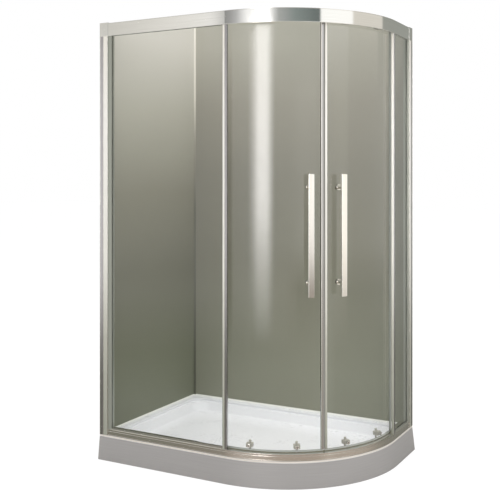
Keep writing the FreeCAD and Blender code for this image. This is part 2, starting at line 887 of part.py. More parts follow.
def drill_wall_profiles():
    """Screw holes through the webs of the two wall channels."""
    for side in SIDES:
        owner = DOC.getObject(f"wall_profile_{side}")
        plane = "YZ_Plane" if side == "left" else "XZ_Plane"
        plan = sketch(owner, f"screw_holes_{side}", plane)
        across = S["profile_depth"] / 2
        place_along = across - WIDTH if side == "left" else LENGTH - across
        for number in range(WALL_HOLES):
            z = RIM + S["screen_height"] * (number + 0.5) / WALL_HOLES
            draw_circle(plan, place_along, z, S["wall_hole_radius"])
        holes = owner.newObject("PartDesign::Pocket", f"screw_pocket_{side}")
        holes.Profile = plan
        holes.Reversed = True
        bind(holes, Length=S["profile_wall"])


def make_fixed_glass():
    """Flat fixed panes, the upright profile on each pane's free edge and the beads at their feet."""
    inset = S["fixed_glass_inset"]
    start = S["profile_width"] + S["jamb_show"] - S["glass_bite"]
    half = S["mullion_width"] / 2
    slot_end = S["pane_past_line"]
    gap = S["glass_gap"]
    depth = S["mullion_depth"]
    face = S["frame_inset"] * 2
    left = box("fixed_glass_left", start, ARC_X + slot_end, inset - WIDTH,
               inset + S["glass"] - WIDTH, RAIL_TOP, GLASS_TOP)
    right = box("fixed_glass_right", LENGTH - inset - S["glass"], LENGTH - inset, ARC_Y - slot_end,
                -start, RAIL_TOP, GLASS_TOP)
    on_plan(keep(left, "fixed_glass_left"), start, inset - WIDTH, RAIL_TOP)
    on_plan(keep(right, "fixed_glass_right"), LENGTH - inset - S["glass"], ARC_Y - slot_end, RAIL_TOP)
    slot_foot = inset - gap - face
    slot_head = inset + S["glass"] + gap - face
    section = [
        (-half, size(0)),
        (half, size(0)),
        (half, depth),
        (-half, depth),
        (-half, slot_head),
        (slot_end + gap, slot_head),
        (slot_end + gap, slot_foot),
        (-half, slot_foot),
    ]
    beads = []
    bead_in = inset + S["glass"]
    for side in SIDES:
        owner = body(f"mullion_{side}")
        along = ARC_X if side == "left" else -ARC_Y
        stand_profile(owner, f"mullion_bar_{side}", [section], RAIL_TOP, FASCIA_FOOT, side, along, face)
        reach = (S["profile_width"] + S["jamb_show"], along - half)
        for layer, low in (("outer", inset - S["bead_wall"]), ("inner", bead_in)):
            high = low + S["bead_wall"]
            spot = (*reach, low - WIDTH, high - WIDTH)
            if side == "right":
                spot = (LENGTH - high, LENGTH - low, -reach[1], -reach[0])
            beads.append(box(f"bead_{side}_{layer}", *spot, RAIL_TOP, RAIL_TOP + S["bead_height"]))
    on_plan(keep(group("glazing_beads", beads), "glazing_beads"))


def wall_panel(label, plane, corner, level, front):
    """An upright panel: its top is level from the corner on, then falls to the screen's top."""
    panel = body(label)
    plan = sketch(panel, f"{label}_outline", plane)
    draw_outline(plan, [(corner, RIM), (front, RIM), (front, TOP), (level, PANEL_TOP), (corner, PANEL_TOP)])
    sheet = panel.newObject("PartDesign::Pad", f"{label}_sheet")
    sheet.Profile = plan
    bind(sheet, Length=S["panel_wall"])
    on_plan(panel)


def make_back_panels():
    """Wall panels that stand on the tray's two back rims, and the bead in their corner."""
    wall = S["panel_wall"]
    gap = S["panel_gap"]
    front = S["profile_depth"] + gap
    wall_panel("back_panel_left", "YZ_Plane", size(0), -S["panel_level_left"], front - WIDTH)
    wall_panel("back_panel_rear", "XZ_Plane", wall + gap, S["panel_level_rear"], LENGTH - front)
    bead = body("corner_bead")
    leg = S["bead_leg"]
    far = wall + gap + S["corner_bead"]
    near = wall + gap
    pad(bead, "corner_bead_bar", RIM, PANEL_TOP - RIM, ([
        (near, -near),
        (near, -far),
        (near + leg, -far),
        (near + leg, -near - leg),
        (far, -near - leg),
        (far, -near),
    ], None))
    on_plan(bead)


def make_door_stops():
    """Rubber blocks on the head ledge that end each door's travel."""
    stops = []
    for side, sign in SIDES.items():
        middle = BISECTOR + MIDDLE * sign
        span = PIVOT_SPREAD / TRACK_RADIUS * 180 / PI
        clear = (S["top_wheel_radius"] + S["stop_gap"]) / TRACK_RADIUS * 180 / PI
        turn = middle + (span + S[f"swing_{side}"] + clear) * sign
        reach = S["stop_length"] if sign > 0 else size(0)
        block = box(f"stop_block_{side}", TRACK_RADIUS - S["wheel_width"] / 2,
                    TRACK_RADIUS + S["wheel_width"] / 2, reach - S["stop_length"], reach,
                    LEDGE_TOP, LEDGE_TOP + S["stop_height"])
        stop = group(f"stop_{side}", [block])
        pivot_x = ARC_X - S["swing_shift"] * cosine(middle)
        pivot_y = ARC_Y - S["swing_shift"] * sine(middle)
        stops.append(place(stop, pivot_x, pivot_y, 0, turn))
    on_plan(keep(group("door_stops", stops), "door_stops"))


# ---------------------------------------------------------------- doors
def door_angle(side, length):
    """Direction, from the arc's centre, of a point on a door measured from the meeting line."""
    return BISECTOR + arc_angle(length) * SIDES[side]


def door_ring(name, side, inner, outer, z0, z1, start, stop):
    """A curved strip of a door between two lengths along it, about the arc's centre."""
    first = start if SIDES[side] > 0 else stop
    return arc_ring(name, inner, outer, z0, z1, door_angle(side, first), arc_angle(stop - start))


def door_edges():
    """Lengths along a door, from the meeting line, where its parts begin and end."""
    magnet_end = S["meeting_gap"] + S["magnet_width"]
    meeting_end = magnet_end + S["meeting_width"]
    rear = DOOR_RADIUS * PI / 4 + S["door_overlap"] - S["door_seal"]
    return magnet_end, meeting_end, rear


def make_door_glass(side):
    """Curved toughened pane with holes for the roller bolts and the handle screws."""
    _, meeting_end, rear = door_edges()
    sheet = door_ring(f"pane_{side}", side, GLASS_IN, GLASS_OUT, DOOR_FOOT, GLASS_TOP,
                      meeting_end - S["meeting_bite"], rear)
    drills = []
    spots = [(S["handle_offset"], z, S["handle_screw_radius"]) for z in handle_levels()]
    for along in (S["front_roller"], S["rear_roller"]):
        spots.append((along, top_bolt_level(), S["bolt_radius"]))
        spots.append((along, bottom_bolt_level(), S["bolt_radius"]))
    for number, (along, z, radius) in enumerate(spots):
        drill = group(f"pane_drill_{side}_{number}", [
            rod(f"pane_drill_{side}_{number}_rod", radius + S["bolt_fit"], GLASS_IN - S["glass"],
                GLASS_OUT + S["glass"], 0, z)
        ])
        drills.append(place(drill, size(0), size(0), size(0), door_angle(side, along)))
    holes = group(f"pane_holes_{side}", drills)
    on_arc(keep(cut(f"door_glass_{side}", sheet, holes), f"door_glass_{side}"))


def make_door_edges(side):
    """Meeting profile with its magnetic strip, rear fin seal and bottom drip seal."""
    magnet_end, meeting_end, rear = door_edges()
    wall = S["meeting_wall"]
    gap = S["slot_fit"]
    outer = GLASS_OUT + wall
    inner = GLASS_IN - wall
    bite = meeting_end - S["meeting_bite"] - gap
    bar = door_ring(f"meeting_{side}", side, inner, outer, DOOR_FOOT, GLASS_TOP, magnet_end, meeting_end)
    slot = door_ring(f"meeting_slot_{side}", side, GLASS_IN - gap, GLASS_OUT + gap,
                     DOOR_FOOT - wall, GLASS_TOP + wall, bite, meeting_end + wall)
    on_arc(keep(cut(f"meeting_profile_{side}", bar, slot), f"meeting_profile_{side}"))
    magnet = door_ring(f"magnet_{side}", side, GLASS_IN, GLASS_OUT, DOOR_FOOT, GLASS_TOP,
                       S["meeting_gap"], magnet_end)
    on_arc(keep(group(f"magnet_strip_{side}", [magnet]), f"magnet_strip_{side}"))
    seal = door_ring(f"rear_{side}", side, GLASS_IN, GLASS_OUT + wall, DOOR_FOOT, GLASS_TOP,
                     rear, rear + S["door_seal"])
    on_arc(keep(group(f"rear_seal_{side}", [seal]), f"rear_seal_{side}"))
    drip = door_ring(f"drip_{side}", side, GLASS_IN, GLASS_OUT, DOOR_FOOT - S["drip_height"], DOOR_FOOT,
                     magnet_end, rear)
    on_arc(keep(group(f"drip_seal_{side}", [drip]), f"drip_seal_{side}"))


def handle_levels():
    """Heights of a handle's two posts."""
    middle = S["handle_height"] + S["handle_length"] / 2
    return [middle - S["post_spacing"] / 2, middle + S["post_spacing"] / 2]


def make_handle(side):
    """Flat pull bar on two posts, held by screws through the glass with bosses on both faces."""
    turn = door_angle(side, S["handle_offset"])
    half = S["handle_width"] / 2
    bar_in = GLASS_OUT + S["handle_standoff"]
    bar = body(f"handle_bar_{side}")
    pad(bar, f"handle_bar_solid_{side}", S["handle_height"], S["handle_length"],
        (rectangle(bar_in, bar_in + S["handle_thick"], -half, half), None))
    DOC.recompute()
    solid = DOC.getObject(f"handle_bar_solid_{side}")
    edges = [
        f"Edge{number}" for number, edge in enumerate(solid.Shape.Edges, start=1)
        if abs(edge.Length - S["handle_length"].value) < 0.01
    ]
    rounding = bar.newObject("PartDesign::Fillet", f"handle_round_{side}")
    rounding.Base = (solid, edges)
    bind(rounding, Radius=S["handle_round"])
    on_arc(bar, turn)

    posts, fixings = [], []
    boss = S["boss_thick"]
    shank = S["handle_screw_radius"]
    inside = GLASS_IN - S["wheel_gap"]
    for number, z in enumerate(handle_levels()):
        post = rod(f"handle_post_{side}_{number}", S["post_radius"], GLASS_OUT + boss, bar_in, 0, z)
        thread = rod(f"post_thread_{side}_{number}", shank + S["axle_fit"], GLASS_OUT,
                     GLASS_OUT + boss + S["handle_screw_bite"] + S["edge_gap"], 0, z)
        posts.append(cut(f"drilled_post_{side}_{number}", post, thread))
        ring = rod(f"handle_boss_{side}_{number}", S["boss_radius"], GLASS_OUT, GLASS_OUT + boss, 0, z)
        fixings.append(cut(f"drilled_boss_{side}_{number}", ring,
                           rod(f"boss_hole_{side}_{number}", shank + S["axle_fit"],
                               GLASS_OUT - boss, GLASS_OUT + boss * 2, 0, z)))
        fixings.append(fuse(f"handle_screw_{side}_{number}", [
            rod(f"handle_screw_head_{side}_{number}", S["boss_radius"], inside - boss, inside, 0, z),
            rod(f"handle_screw_shank_{side}_{number}", shank, inside - boss,
                GLASS_OUT + boss + S["handle_screw_bite"], 0, z),
        ]))
    on_arc(keep(group(f"handle_posts_{side}", posts), f"handle_posts_{side}"), turn)
    on_arc(keep(group(f"handle_fixings_{side}", fixings), f"handle_fixings_{side}"), turn)


def top_bolt_level():
    return GLASS_TOP - S["block_height"] / 2 - S["edge_gap"]


def bottom_bolt_level():
    return DOOR_FOOT + S["bracket_lift"] + S["block_height"] / 2


def top_axle_level():
    return LEDGE_TOP + S["wheel_gap"] + S["top_wheel_radius"]


def bottom_axle_level():
    return RAIL_LIP - S["wheel_gap"] - S["bottom_wheel_radius"]


def roller_spots(side):
    """Each roller's name and its direction from the arc's centre."""
    return [
        ("front", door_angle(side, S["front_roller"])),
        ("rear", door_angle(side, S["rear_roller"])),
    ]


def axle(name, start, level):
    """Wheel pin with a head that keeps the wheel on."""
    head = WHEEL_OUT + S["wheel_gap"]
    return [
        rod(f"{name}_pin", S["axle_radius"], start, head + S["axle_head"], 0, level),
        rod(f"{name}_head", S["axle_head_radius"], head, head + S["axle_head"], 0, level),
    ]


def make_top_brackets(side):
    """Hangers bolted to the glass; each arm rises past the ledge and carries a wheel pin."""
    hangers = []
    half = S["block_width"] / 2
    arm = S["arm_width"] / 2
    level = top_axle_level()
    bolt = top_bolt_level()
    for end, turn in roller_spots(side):
        name = f"hanger_{side}_{end}"
        hanger = fuse(f"{name}_solid", [
            box(f"{name}_block", ARM_IN, GLASS_IN - S["wheel_gap"], -half, half,
                bolt - S["block_height"] / 2, bolt + S["block_height"] / 2),
            box(f"{name}_arm", ARM_IN, ARM_OUT, -arm, arm, bolt - S["block_height"] / 2,
                level + S["axle_radius"] * 2),
            *axle(name, ARM_IN, level),
        ])
        hole = rod(f"{name}_thread", S["bolt_radius"] + S["axle_fit"],
                   GLASS_IN - S["bolt_bite"], GLASS_IN, 0, bolt)
        tapped = cut(f"{name}_tapped", hanger, hole)
        hangers.append(place(tapped, size(0), size(0), size(0), turn))
    on_arc(keep(group(f"top_brackets_{side}", hangers), f"top_brackets_{side}"))


def make_bottom_brackets(side):
    """Guide blocks bolted to the glass, bored for the sprung release stems."""
    blocks = []
    half = S["block_width"] / 2
    bolt = bottom_bolt_level()
    low = bolt - S["block_height"] / 2
    high = bolt + S["block_height"] / 2
    for end, turn in roller_spots(side):
        name = f"guide_{side}_{end}"
        block = box(f"{name}_block", BLOCK_IN, GLASS_IN - S["wheel_gap"], -half, half, low, high)
        holes = group(f"{name}_holes", [
            upright(f"{name}_bore", S["stem_radius"] + S["stem_fit"], STEM_CENTRE, 0, low, high),
            rod(f"{name}_thread", S["bolt_radius"] + S["axle_fit"], GLASS_IN - S["bolt_bite"],
                GLASS_IN, 0, bolt),
        ])
        bored = cut(f"{name}_bored", block, holes)
        blocks.append(place(bored, size(0), size(0), size(0), turn))
    on_arc(keep(group(f"bottom_brackets_{side}", blocks), f"bottom_brackets_{side}"))


def make_roller_bolts(side):
    """Capped bolts that pass through the glass into the hangers and the guide blocks."""
    bolts = []
    for end, turn in roller_spots(side):
        for row, level in (("top", top_bolt_level()), ("bottom", bottom_bolt_level())):
            name = f"bolt_{side}_{end}_{row}"
            bolt = fuse(name, [
                rod(f"{name}_cap", S["bolt_cap_radius"], GLASS_OUT, GLASS_OUT + S["bolt_cap"], 0, level),
                rod(f"{name}_shank", S["bolt_radius"], GLASS_IN - S["bolt_bite"] + S["edge_gap"],
                    GLASS_OUT + S["bolt_cap"] / 2, 0, level),
            ])
            bolts.append(place(bolt, size(0), size(0), size(0), turn))
    on_arc(keep(group(f"roller_bolts_{side}", bolts), f"roller_bolts_{side}"))


def make_release(side, end, turn):
    """Sprung stem: a button above the guide block, a wheel pin at its foot."""
    name = f"release_{side}_{end}"
    level = bottom_axle_level()
    block_top = bottom_bolt_level() + S["block_height"] / 2
    button = block_top + S["button_travel"] + S["wheel_gap"]
    stem = fuse(f"{name}_stem", [
        upright(f"{name}_rod", S["stem_radius"], STEM_CENTRE, 0, level - S["axle_radius"] * 2,
                button + S["button_height"] / 2),
        upright(f"{name}_button", S["button_radius"], STEM_CENTRE, 0, button,
                button + S["button_height"]),
        *axle(name, STEM_CENTRE, level),
    ])
    on_arc(keep(stem, name), turn)


def make_wheel(row, side, end, turn):
    """Grooveless nylon wheel on its pin."""
    radius = S[f"{row}_wheel_radius"]
    level = top_axle_level() if row == "top" else bottom_axle_level()
    half = S["wheel_width"] / 2
    bore = S["axle_radius"] + S["axle_fit"]
    bevel = S["wheel_bevel"]
    wheel = turned(f"{row}_wheel_{side}_{end}", [
        (-half, bore),
        (half, bore),
        (half, radius - bevel),
        (half - bevel, radius),
        (bevel - half, radius),
        (-half, radius - bevel),
    ], "H_Axis")
    x = ARC_X + WHEEL_CIRCLE * cosine(turn)
    y = ARC_Y + WHEEL_CIRCLE * sine(turn)
    on_plan(wheel, x, y, level, turn)


# ---------------------------------------------------------------- build and write
def build():
    make_tray()
    make_skirt()
    make_skirt_clips()
    make_tray_frame()
    make_feet()
    make_waste()
    make_bottom_rail()
    make_top_rail()
    make_wall_sides()
    drill_wall_profiles()
    make_fixed_glass()
    make_back_panels()
    make_door_stops()
    for side in SIDES:
        make_door_glass(side)
        make_door_edges(side)
        make_handle(side)
        make_top_brackets(side)
        make_bottom_brackets(side)
        make_roller_bolts(side)
        for end, turn in roller_spots(side):
            make_wheel("top", side, end, turn)
            make_wheel("bottom", side, end, turn)
            make_release(side, end, turn)
    DOC.recompute()


def write():
    """Check every object, then write one file for each sub-part."""
    for obj in DOC.Objects:
        if "Invalid" in obj.State or "Error" in obj.State:
            raise RuntimeError(f"{obj.Name} did not compute: {obj.State}")
    os.makedirs("parts", exist_ok=True)
    for node in NODES:
        shape = node.Shape
        if shape.isNull() or not shape.isValid() or not shape.Solids:
            raise RuntimeError(f"{node.Label} has no valid solid")
        shape.exportStep(f"parts/{node.Label}.step")
        print(f"{node.Label}: {len(shape.Solids)} solid(s), {shape.Volume / 1000:.1f} cm3")


build()
write()
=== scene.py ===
"""Quadrant shower enclosure: the finishes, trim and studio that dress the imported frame.

The frame's own coordinates are used throughout: metres, +X along the long wall, +Y towards the
long wall, +Z up, with the origin in the middle of the bounding box at floor level.  Each
sub-assembly is a class that holds its sizes and has methods that build its pieces.  The paintbox
gives the frame's own nodes their finishes.
"""

import enum
import json
import logging
import math
from dataclasses import dataclass
from typing import Iterable, Optional, Sequence

import bmesh
import bpy
from mathutils import Matrix, Vector

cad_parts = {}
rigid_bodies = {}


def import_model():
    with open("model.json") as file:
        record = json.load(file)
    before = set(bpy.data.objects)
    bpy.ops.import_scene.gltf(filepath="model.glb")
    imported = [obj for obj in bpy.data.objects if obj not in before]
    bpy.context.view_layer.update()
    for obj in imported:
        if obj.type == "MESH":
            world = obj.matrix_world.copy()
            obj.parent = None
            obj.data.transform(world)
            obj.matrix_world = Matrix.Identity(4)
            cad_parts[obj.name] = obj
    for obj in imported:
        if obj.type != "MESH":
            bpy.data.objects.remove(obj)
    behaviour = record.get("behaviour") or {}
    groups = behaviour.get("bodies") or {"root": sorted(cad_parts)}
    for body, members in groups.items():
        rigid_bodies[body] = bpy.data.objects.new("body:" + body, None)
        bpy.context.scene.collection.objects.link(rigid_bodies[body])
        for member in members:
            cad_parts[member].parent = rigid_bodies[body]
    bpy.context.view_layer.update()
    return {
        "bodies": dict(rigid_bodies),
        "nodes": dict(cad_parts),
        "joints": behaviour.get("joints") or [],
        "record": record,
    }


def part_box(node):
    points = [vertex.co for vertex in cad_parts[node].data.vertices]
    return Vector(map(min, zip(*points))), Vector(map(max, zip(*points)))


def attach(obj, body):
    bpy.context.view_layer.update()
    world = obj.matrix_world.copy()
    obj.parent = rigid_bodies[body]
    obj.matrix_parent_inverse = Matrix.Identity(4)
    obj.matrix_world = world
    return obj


LOG = logging.getLogger("enclosure")

Colour = tuple[float, float, float]
Point = tuple[float, float, float]
Section = Sequence[tuple[float, float]]
Pairs = tuple[tuple[float, float], ...]
Outline = Pairs

ROOT = "screen_and_tray"
# Plan of the screen: its walls, its front and right lines, and the curve between these two.
LEFT_WALL = -0.606
REAR_WALL = 0.406
FRONT_LINE = -0.394
RIGHT_LINE = 0.594
ARC_CENTRE = (0.044, 0.156)
ARC_RADIUS = 0.55
# Heights of the fixed metalwork, and distance of the rails' faces from the front line.
RIM = 0.110
SILL_TOP = 0.138
HEAD_FOOT = 1.902
TOP = 1.960
CAP_TOP = 1.963
RAIL_FACE = -0.001
# The doors: radius of the panes' middle, the turn at which they meet, half a pane's thickness,
# and the heights of the panes' feet and heads.
DOOR_RADIUS = 0.523
MEETING_TURN = math.radians(-45)
HALF_PANE = 0.0025
DOOR_FOOT = 0.147
GLASS_TOP = 1.926
# The wall channels' width and depth, and how much of the jamb shows beside each.
PROFILE_WIDTH = 0.045
PROFILE_DEPTH = 0.025
JAMB_SHOW = 0.020
# Small distances that the pieces share: spare room at an end, and how deep a piece is let in.
SPARE = 0.0005
LET_IN = 0.0002
# Part of a noise texture's range that nearly all of its values lie in.
NOISE_LOW = 0.3
NOISE_HIGH = 0.7


class Side(enum.Enum):
    """The two doors and the two straight sides of the screen, seen from outside."""

    LEFT = "left"
    RIGHT = "right"

    @property
    def sign(self) -> int:
        """-1 on the left and +1 on the right, as angles grow anticlockwise."""
        return -1 if self is Side.LEFT else 1


class Grain(enum.Enum):
    """How a surface's fine texture is stretched, as scales along X, Y and Z."""

    UPRIGHT = (420.0, 420.0, 3.0)
    LEVEL = (6.0, 6.0, 520.0)
    EVEN = (90.0, 90.0, 90.0)
    FINE = (600.0, 600.0, 600.0)


def linear(code: str) -> Colour:
    """Turn a screen colour into the linear numbers that shaders use.

    Args:
        code: Six hexadecimal digits, red, green and blue.

    Returns:
        The colour's linear red, green and blue.
    """
    parts = [int(code[start:start + 2], 16) / 255 for start in (0, 2, 4)]
    return tuple(
        part / 12.92 if part <= 0.04045 else ((part + 0.055) / 1.055) ** 2.4 for part in parts
    )


def grey(level: float) -> Colour:
    """Make a plain grey of a level."""
    return level, level, level


def degrees_share(angle: float) -> float:
    """Turn a compass angle from -180 to 180 degrees into a share from 0 to 1."""
    return (angle + 180) / 360


# ---------------------------------------------------------------- finishes
class Shader:
    """Short way to add and link the nodes of one material or world."""

    def __init__(self, tree: bpy.types.NodeTree) -> None:
        """Start from an empty tree."""
        self.tree = tree
        self.tree.nodes.clear()

    def add(self, kind: str, **values: object) -> bpy.types.Node:
        """Add a node and set its sockets and properties.

        Args:
            kind: The node's type name without its ShaderNode prefix.
            **values: Socket names with underscores for spaces, or property names.

        Returns:
            The new node.
        """
        node = self.tree.nodes.new(f"ShaderNode{kind}")
        for name, value in values.items():
            socket = node.inputs.get(name.replace("_", " "))
            if socket is None:
                setattr(node, name, value)
            else:
                socket.default_value = value
        return node

    def link(self, source: bpy.types.NodeSocket, target: bpy.types.NodeSocket) -> None:
        """Join an output to an input."""
        self.tree.links.new(source, target)

    def ramp(self, stops: Sequence[tuple[float, Colour]],
             driver: bpy.types.NodeSocket) -> bpy.types.NodeSocket:
        """Add a colour ramp.

        Args:
            stops: Places from 0 to 1 with their colours.
            driver: The number that picks the place.

        Returns:
            The ramp's colour output.
        """
        node = self.add("ValToRGB")
        band = node.color_ramp
        while len(band.elements) < len(stops):
            band.elements.new(0.5)
        for element, (place, colour) in zip(band.elements, stops):
            element.position = place
            element.color = (*colour, 1.0)
        self.link(driver, node.inputs["Fac"])
        return node.outputs["Color"]

    def arithmetic(self, kind: str, first: bpy.types.NodeSocket,
                   second: bpy.types.NodeSocket | float) -> bpy.types.NodeSocket:
        """Add a math node.

        Args:
            kind: The operation's name.
            first: Its first input.
            second: Its second input, a socket or a number.

        Returns:
            The result's output.
        """
        node = self.add("Math", operation=kind)
        self.link(first, node.inputs[0])
        if isinstance(second, bpy.types.NodeSocket):
            self.link(second, node.inputs[1])
        else:
            node.inputs[1].default_value = second
        return node.outputs[0]

    def stretch(self, driver: bpy.types.NodeSocket, low: float, high: float, to_low: float,
                to_high: float) -> bpy.types.NodeSocket:
        """Map a number's range to another range, held at its ends.

        Args:
            driver: The number.
            low: Value that becomes to_low.
            high: Value that becomes to_high.
            to_low: What low becomes.
            to_high: What high becomes.

        Returns:
            The mapped number's output.
        """
        node = self.add("MapRange", From_Min=low, From_Max=high, To_Min=to_low, To_Max=to_high)
        self.link(driver, node.inputs["Value"])
        return node.outputs["Result"]

    def noise(self, scales: Point, detail: float = 3.0) -> bpy.types.NodeSocket:
        """Add noise in the frame's own coordinates.

        Args:
            scales: The noise's scale along each axis.
            detail: How many finer layers it has.

        Returns:
            The noise's value output.
        """
        place = self.add("TexCoord")
        mapping = self.add("Mapping")
        mapping.inputs["Scale"].default_value = scales
        self.link(place.outputs["Object"], mapping.inputs["Vector"])
        texture = self.add("TexNoise", Scale=1.0, Detail=detail, Roughness=0.55)
        self.link(mapping.outputs["Vector"], texture.inputs["Vector"])
        return texture.outputs["Fac"]

    def height(self) -> bpy.types.NodeSocket:
        """Add the height above the floor.

        Returns:
            The output with the height in metres.
        """
        place = self.add("TexCoord")
        split = self.add("SeparateXYZ")
        self.link(place.outputs["Object"], split.inputs["Vector"])
        return split.outputs["Z"]

    def direction(self) -> tuple[bpy.types.NodeSocket, bpy.types.NodeSocket]:
        """Add the direction in which a ray leaves for the world.

        Returns:
            Its compass angle as a share of a turn, and its rise from -1 to 1.
        """
        place = self.add("TexCoord")
        split = self.add("SeparateXYZ")
        self.link(place.outputs["Generated"], split.inputs["Vector"])
        angle = self.arithmetic("ARCTAN2", split.outputs["Y"], split.outputs["X"])
        return self.stretch(angle, -math.pi, math.pi, 0.0, 1.0), split.outputs["Z"]

    def seen(self) -> bpy.types.NodeSocket:
        """Add whether a ray comes from the camera, straight or through glass.

        Returns:
            The output that is 1 for such a ray and 0 for the rest.
        """
        rays = self.add("LightPath")
        return self.arithmetic("MAXIMUM", rays.outputs["Is Camera Ray"],
                               rays.outputs["Is Transmission Ray"])

    def mix(self, share: bpy.types.NodeSocket, first: bpy.types.NodeSocket,
            second: bpy.types.NodeSocket) -> bpy.types.NodeSocket:
        """Mix two shaders.

        Args:
            share: Share of the second one.
            first: The first shader's output.
            second: The second shader's output.

        Returns:
            The mixed shader's output.
        """
        node = self.add("MixShader")
        self.link(share, node.inputs["Fac"])
        self.link(first, node.inputs[1])
        self.link(second, node.inputs[2])
        return node.outputs["Shader"]


@dataclass(frozen=True)
class Surface:
    """What every finish shares: its name, and how its material is made.

    Attributes:
        name: The material's name.
    """

    name: str

    def shading(self, shader: Shader) -> bpy.types.NodeSocket:
        """Add the finish's own nodes; each kind of finish has its own."""
        raise NotImplementedError

    def build(self) -> bpy.types.Material:
        """Make the material.

        Returns:
            The new material.
        """
        material = bpy.data.materials.new(self.name)
        material.use_nodes = True
        shader = Shader(material.node_tree)
        output = shader.add("OutputMaterial")
        shader.link(self.shading(shader), output.inputs["Surface"])
        return material


@dataclass(frozen=True)
class Finish(Surface):
    """A surface finish with fine variation of its colour, gloss and relief.

    Attributes:
        colour: Main colour.
        shade: Colour that the fine variation reaches.
        metallic: 1 for bare metal and 0 for the rest.
        roughness: Middle roughness.
        spread: How far the roughness varies.
        grain: How the fine texture is stretched.
        relief: Strength of the fine bump.
        depth: Height of the fine bump in metres.
        coat: Clear coat on top.
        coat_roughness: Roughness of that coat.
        patch_scale: Scale of the larger patches that share in the gloss.
        fine_share: Share of the fine texture in how the gloss varies.
    """

    colour: Colour
    shade: Colour
    metallic: float = 0.0
    roughness: float = 0.4
    spread: float = 0.08
    grain: Grain = Grain.EVEN
    relief: float = 0.1
    depth: float = 0.0002
    coat: float = 0.0
    coat_roughness: float = 0.06
    patch_scale: float = 7.0
    fine_share: float = 0.6

    def base(self, shader: Shader, fine: bpy.types.NodeSocket) -> bpy.types.NodeSocket:
        """Add the base colour's nodes; a finish whose colour changes with height, partly by painted light,
        overrides this.
        """
        return shader.ramp([(NOISE_LOW, self.colour), (NOISE_HIGH, self.shade)], fine)

    def shading(self, shader: Shader) -> bpy.types.NodeSocket:
        """Add the main shader with its colour, gloss and relief.

        Args:
            shader: The material's nodes.

        Returns:
            The main shader's output.
        """
        fine = shader.noise(self.grain.value)
        patches = shader.noise((self.patch_scale, self.patch_scale, self.patch_scale), detail=2.0)
        main = shader.add("BsdfPrincipled", Metallic=self.metallic, Coat_Weight=self.coat,
                          Coat_Roughness=self.coat_roughness)
        shader.link(self.base(shader, fine), main.inputs["Base Color"])
        wear = shader.arithmetic("ADD", shader.arithmetic("MULTIPLY", fine, self.fine_share),
                                 shader.arithmetic("MULTIPLY", patches, 1 - self.fine_share))
        gloss = shader.stretch(wear, NOISE_LOW, NOISE_HIGH, self.roughness - self.spread,
                               self.roughness + self.spread)
        shader.link(gloss, main.inputs["Roughness"])
        bump = shader.add("Bump", Strength=self.relief, Distance=self.depth)
        shader.link(fine, bump.inputs["Height"])
        shader.link(bump.outputs["Normal"], main.inputs["Normal"])
        return main.outputs["BSDF"]


@dataclass(frozen=True)
class PaintedLightUprightFinish(Finish):
    """Finish of a tall piece whose colour changes from its head to its foot: painted light, lighter
    towards the head and darker towards the foot as if lit from above, over any tint of its own.

    Attributes:
        tint_and_painted_light: Heights in metres with the colour there, the tint and the painted light
            together.
        span: Height in metres that the colour ramp covers.
        cloud: How far the fine texture lightens and darkens the colour.
    """

    tint_and_painted_light: tuple[tuple[float, Colour], ...] = ()
    span: float = 2.0
    cloud: float = 0.03

    def base(self, shader: Shader, fine: bpy.types.NodeSocket) -> bpy.types.NodeSocket:
        """Add the colour by height, which carries the painted light and shade, with a faint cloudiness.

        Args:
            shader: The material's nodes.
            fine: The fine texture's value.

        Returns:
            The base colour's output.
        """
        stops = [(height / self.span, colour) for height, colour in self.tint_and_painted_light]
        tint = shader.ramp(stops, shader.arithmetic("DIVIDE", shader.height(), self.span))
        cloud = shader.stretch(fine, NOISE_LOW, NOISE_HIGH, 1 - self.cloud, 1 + self.cloud)
        blend = shader.add("Mix", data_type="RGBA", blend_type="MULTIPLY", Factor=1.0)
        shader.link(tint, blend.inputs["A"])
        shader.link(cloud, blend.inputs["B"])
        return blend.outputs["Result"]


@dataclass(frozen=True)
class GlassFinish(Surface):
    """Clear toughened glass, as thin panes that let light through and mirror a little.

    Attributes:
        tint: Share of each colour that one face lets through.
        mirror_index: Index of refraction that sets how much a face mirrors.
        haze: Roughness of the mirror where the pane has its faint film.
        film_scales: Scale of the film's texture along each axis.
        film_range: Values of that texture at which the pane is clear and at which it is hazy.
    """

    tint: Colour
    mirror_index: float = 1.5
    haze: float = 0.02
    film_scales: Point = (2.0, 2.0, 1.2)
    film_range: tuple[float, float] = (0.4, 0.75)

    def shading(self, shader: Shader) -> bpy.types.NodeSocket:
        """Add the clear pane with a mirror on top.

        Args:
            shader: The material's nodes.

        Returns:
            The pane's shader output.
        """
        clear = shader.add("BsdfTransparent", Color=(*self.tint, 1.0))
        mirror = shader.add("BsdfPrincipled", Metallic=1.0, Base_Color=(1.0, 1.0, 1.0, 1.0))
        film = shader.noise(self.film_scales, detail=2.0)
        shader.link(shader.stretch(film, *self.film_range, 0.0, self.haze), mirror.inputs["Roughness"])
        share = shader.add("Fresnel")
        side = shader.add("NewGeometry")
        index = shader.stretch(side.outputs["Backfacing"], 0.0, 1.0, self.mirror_index,
                               1.0 / self.mirror_index)
        shader.link(index, share.inputs["IOR"])
        return shader.mix(share.outputs["Fac"], clear.outputs["BSDF"], mirror.outputs["BSDF"])


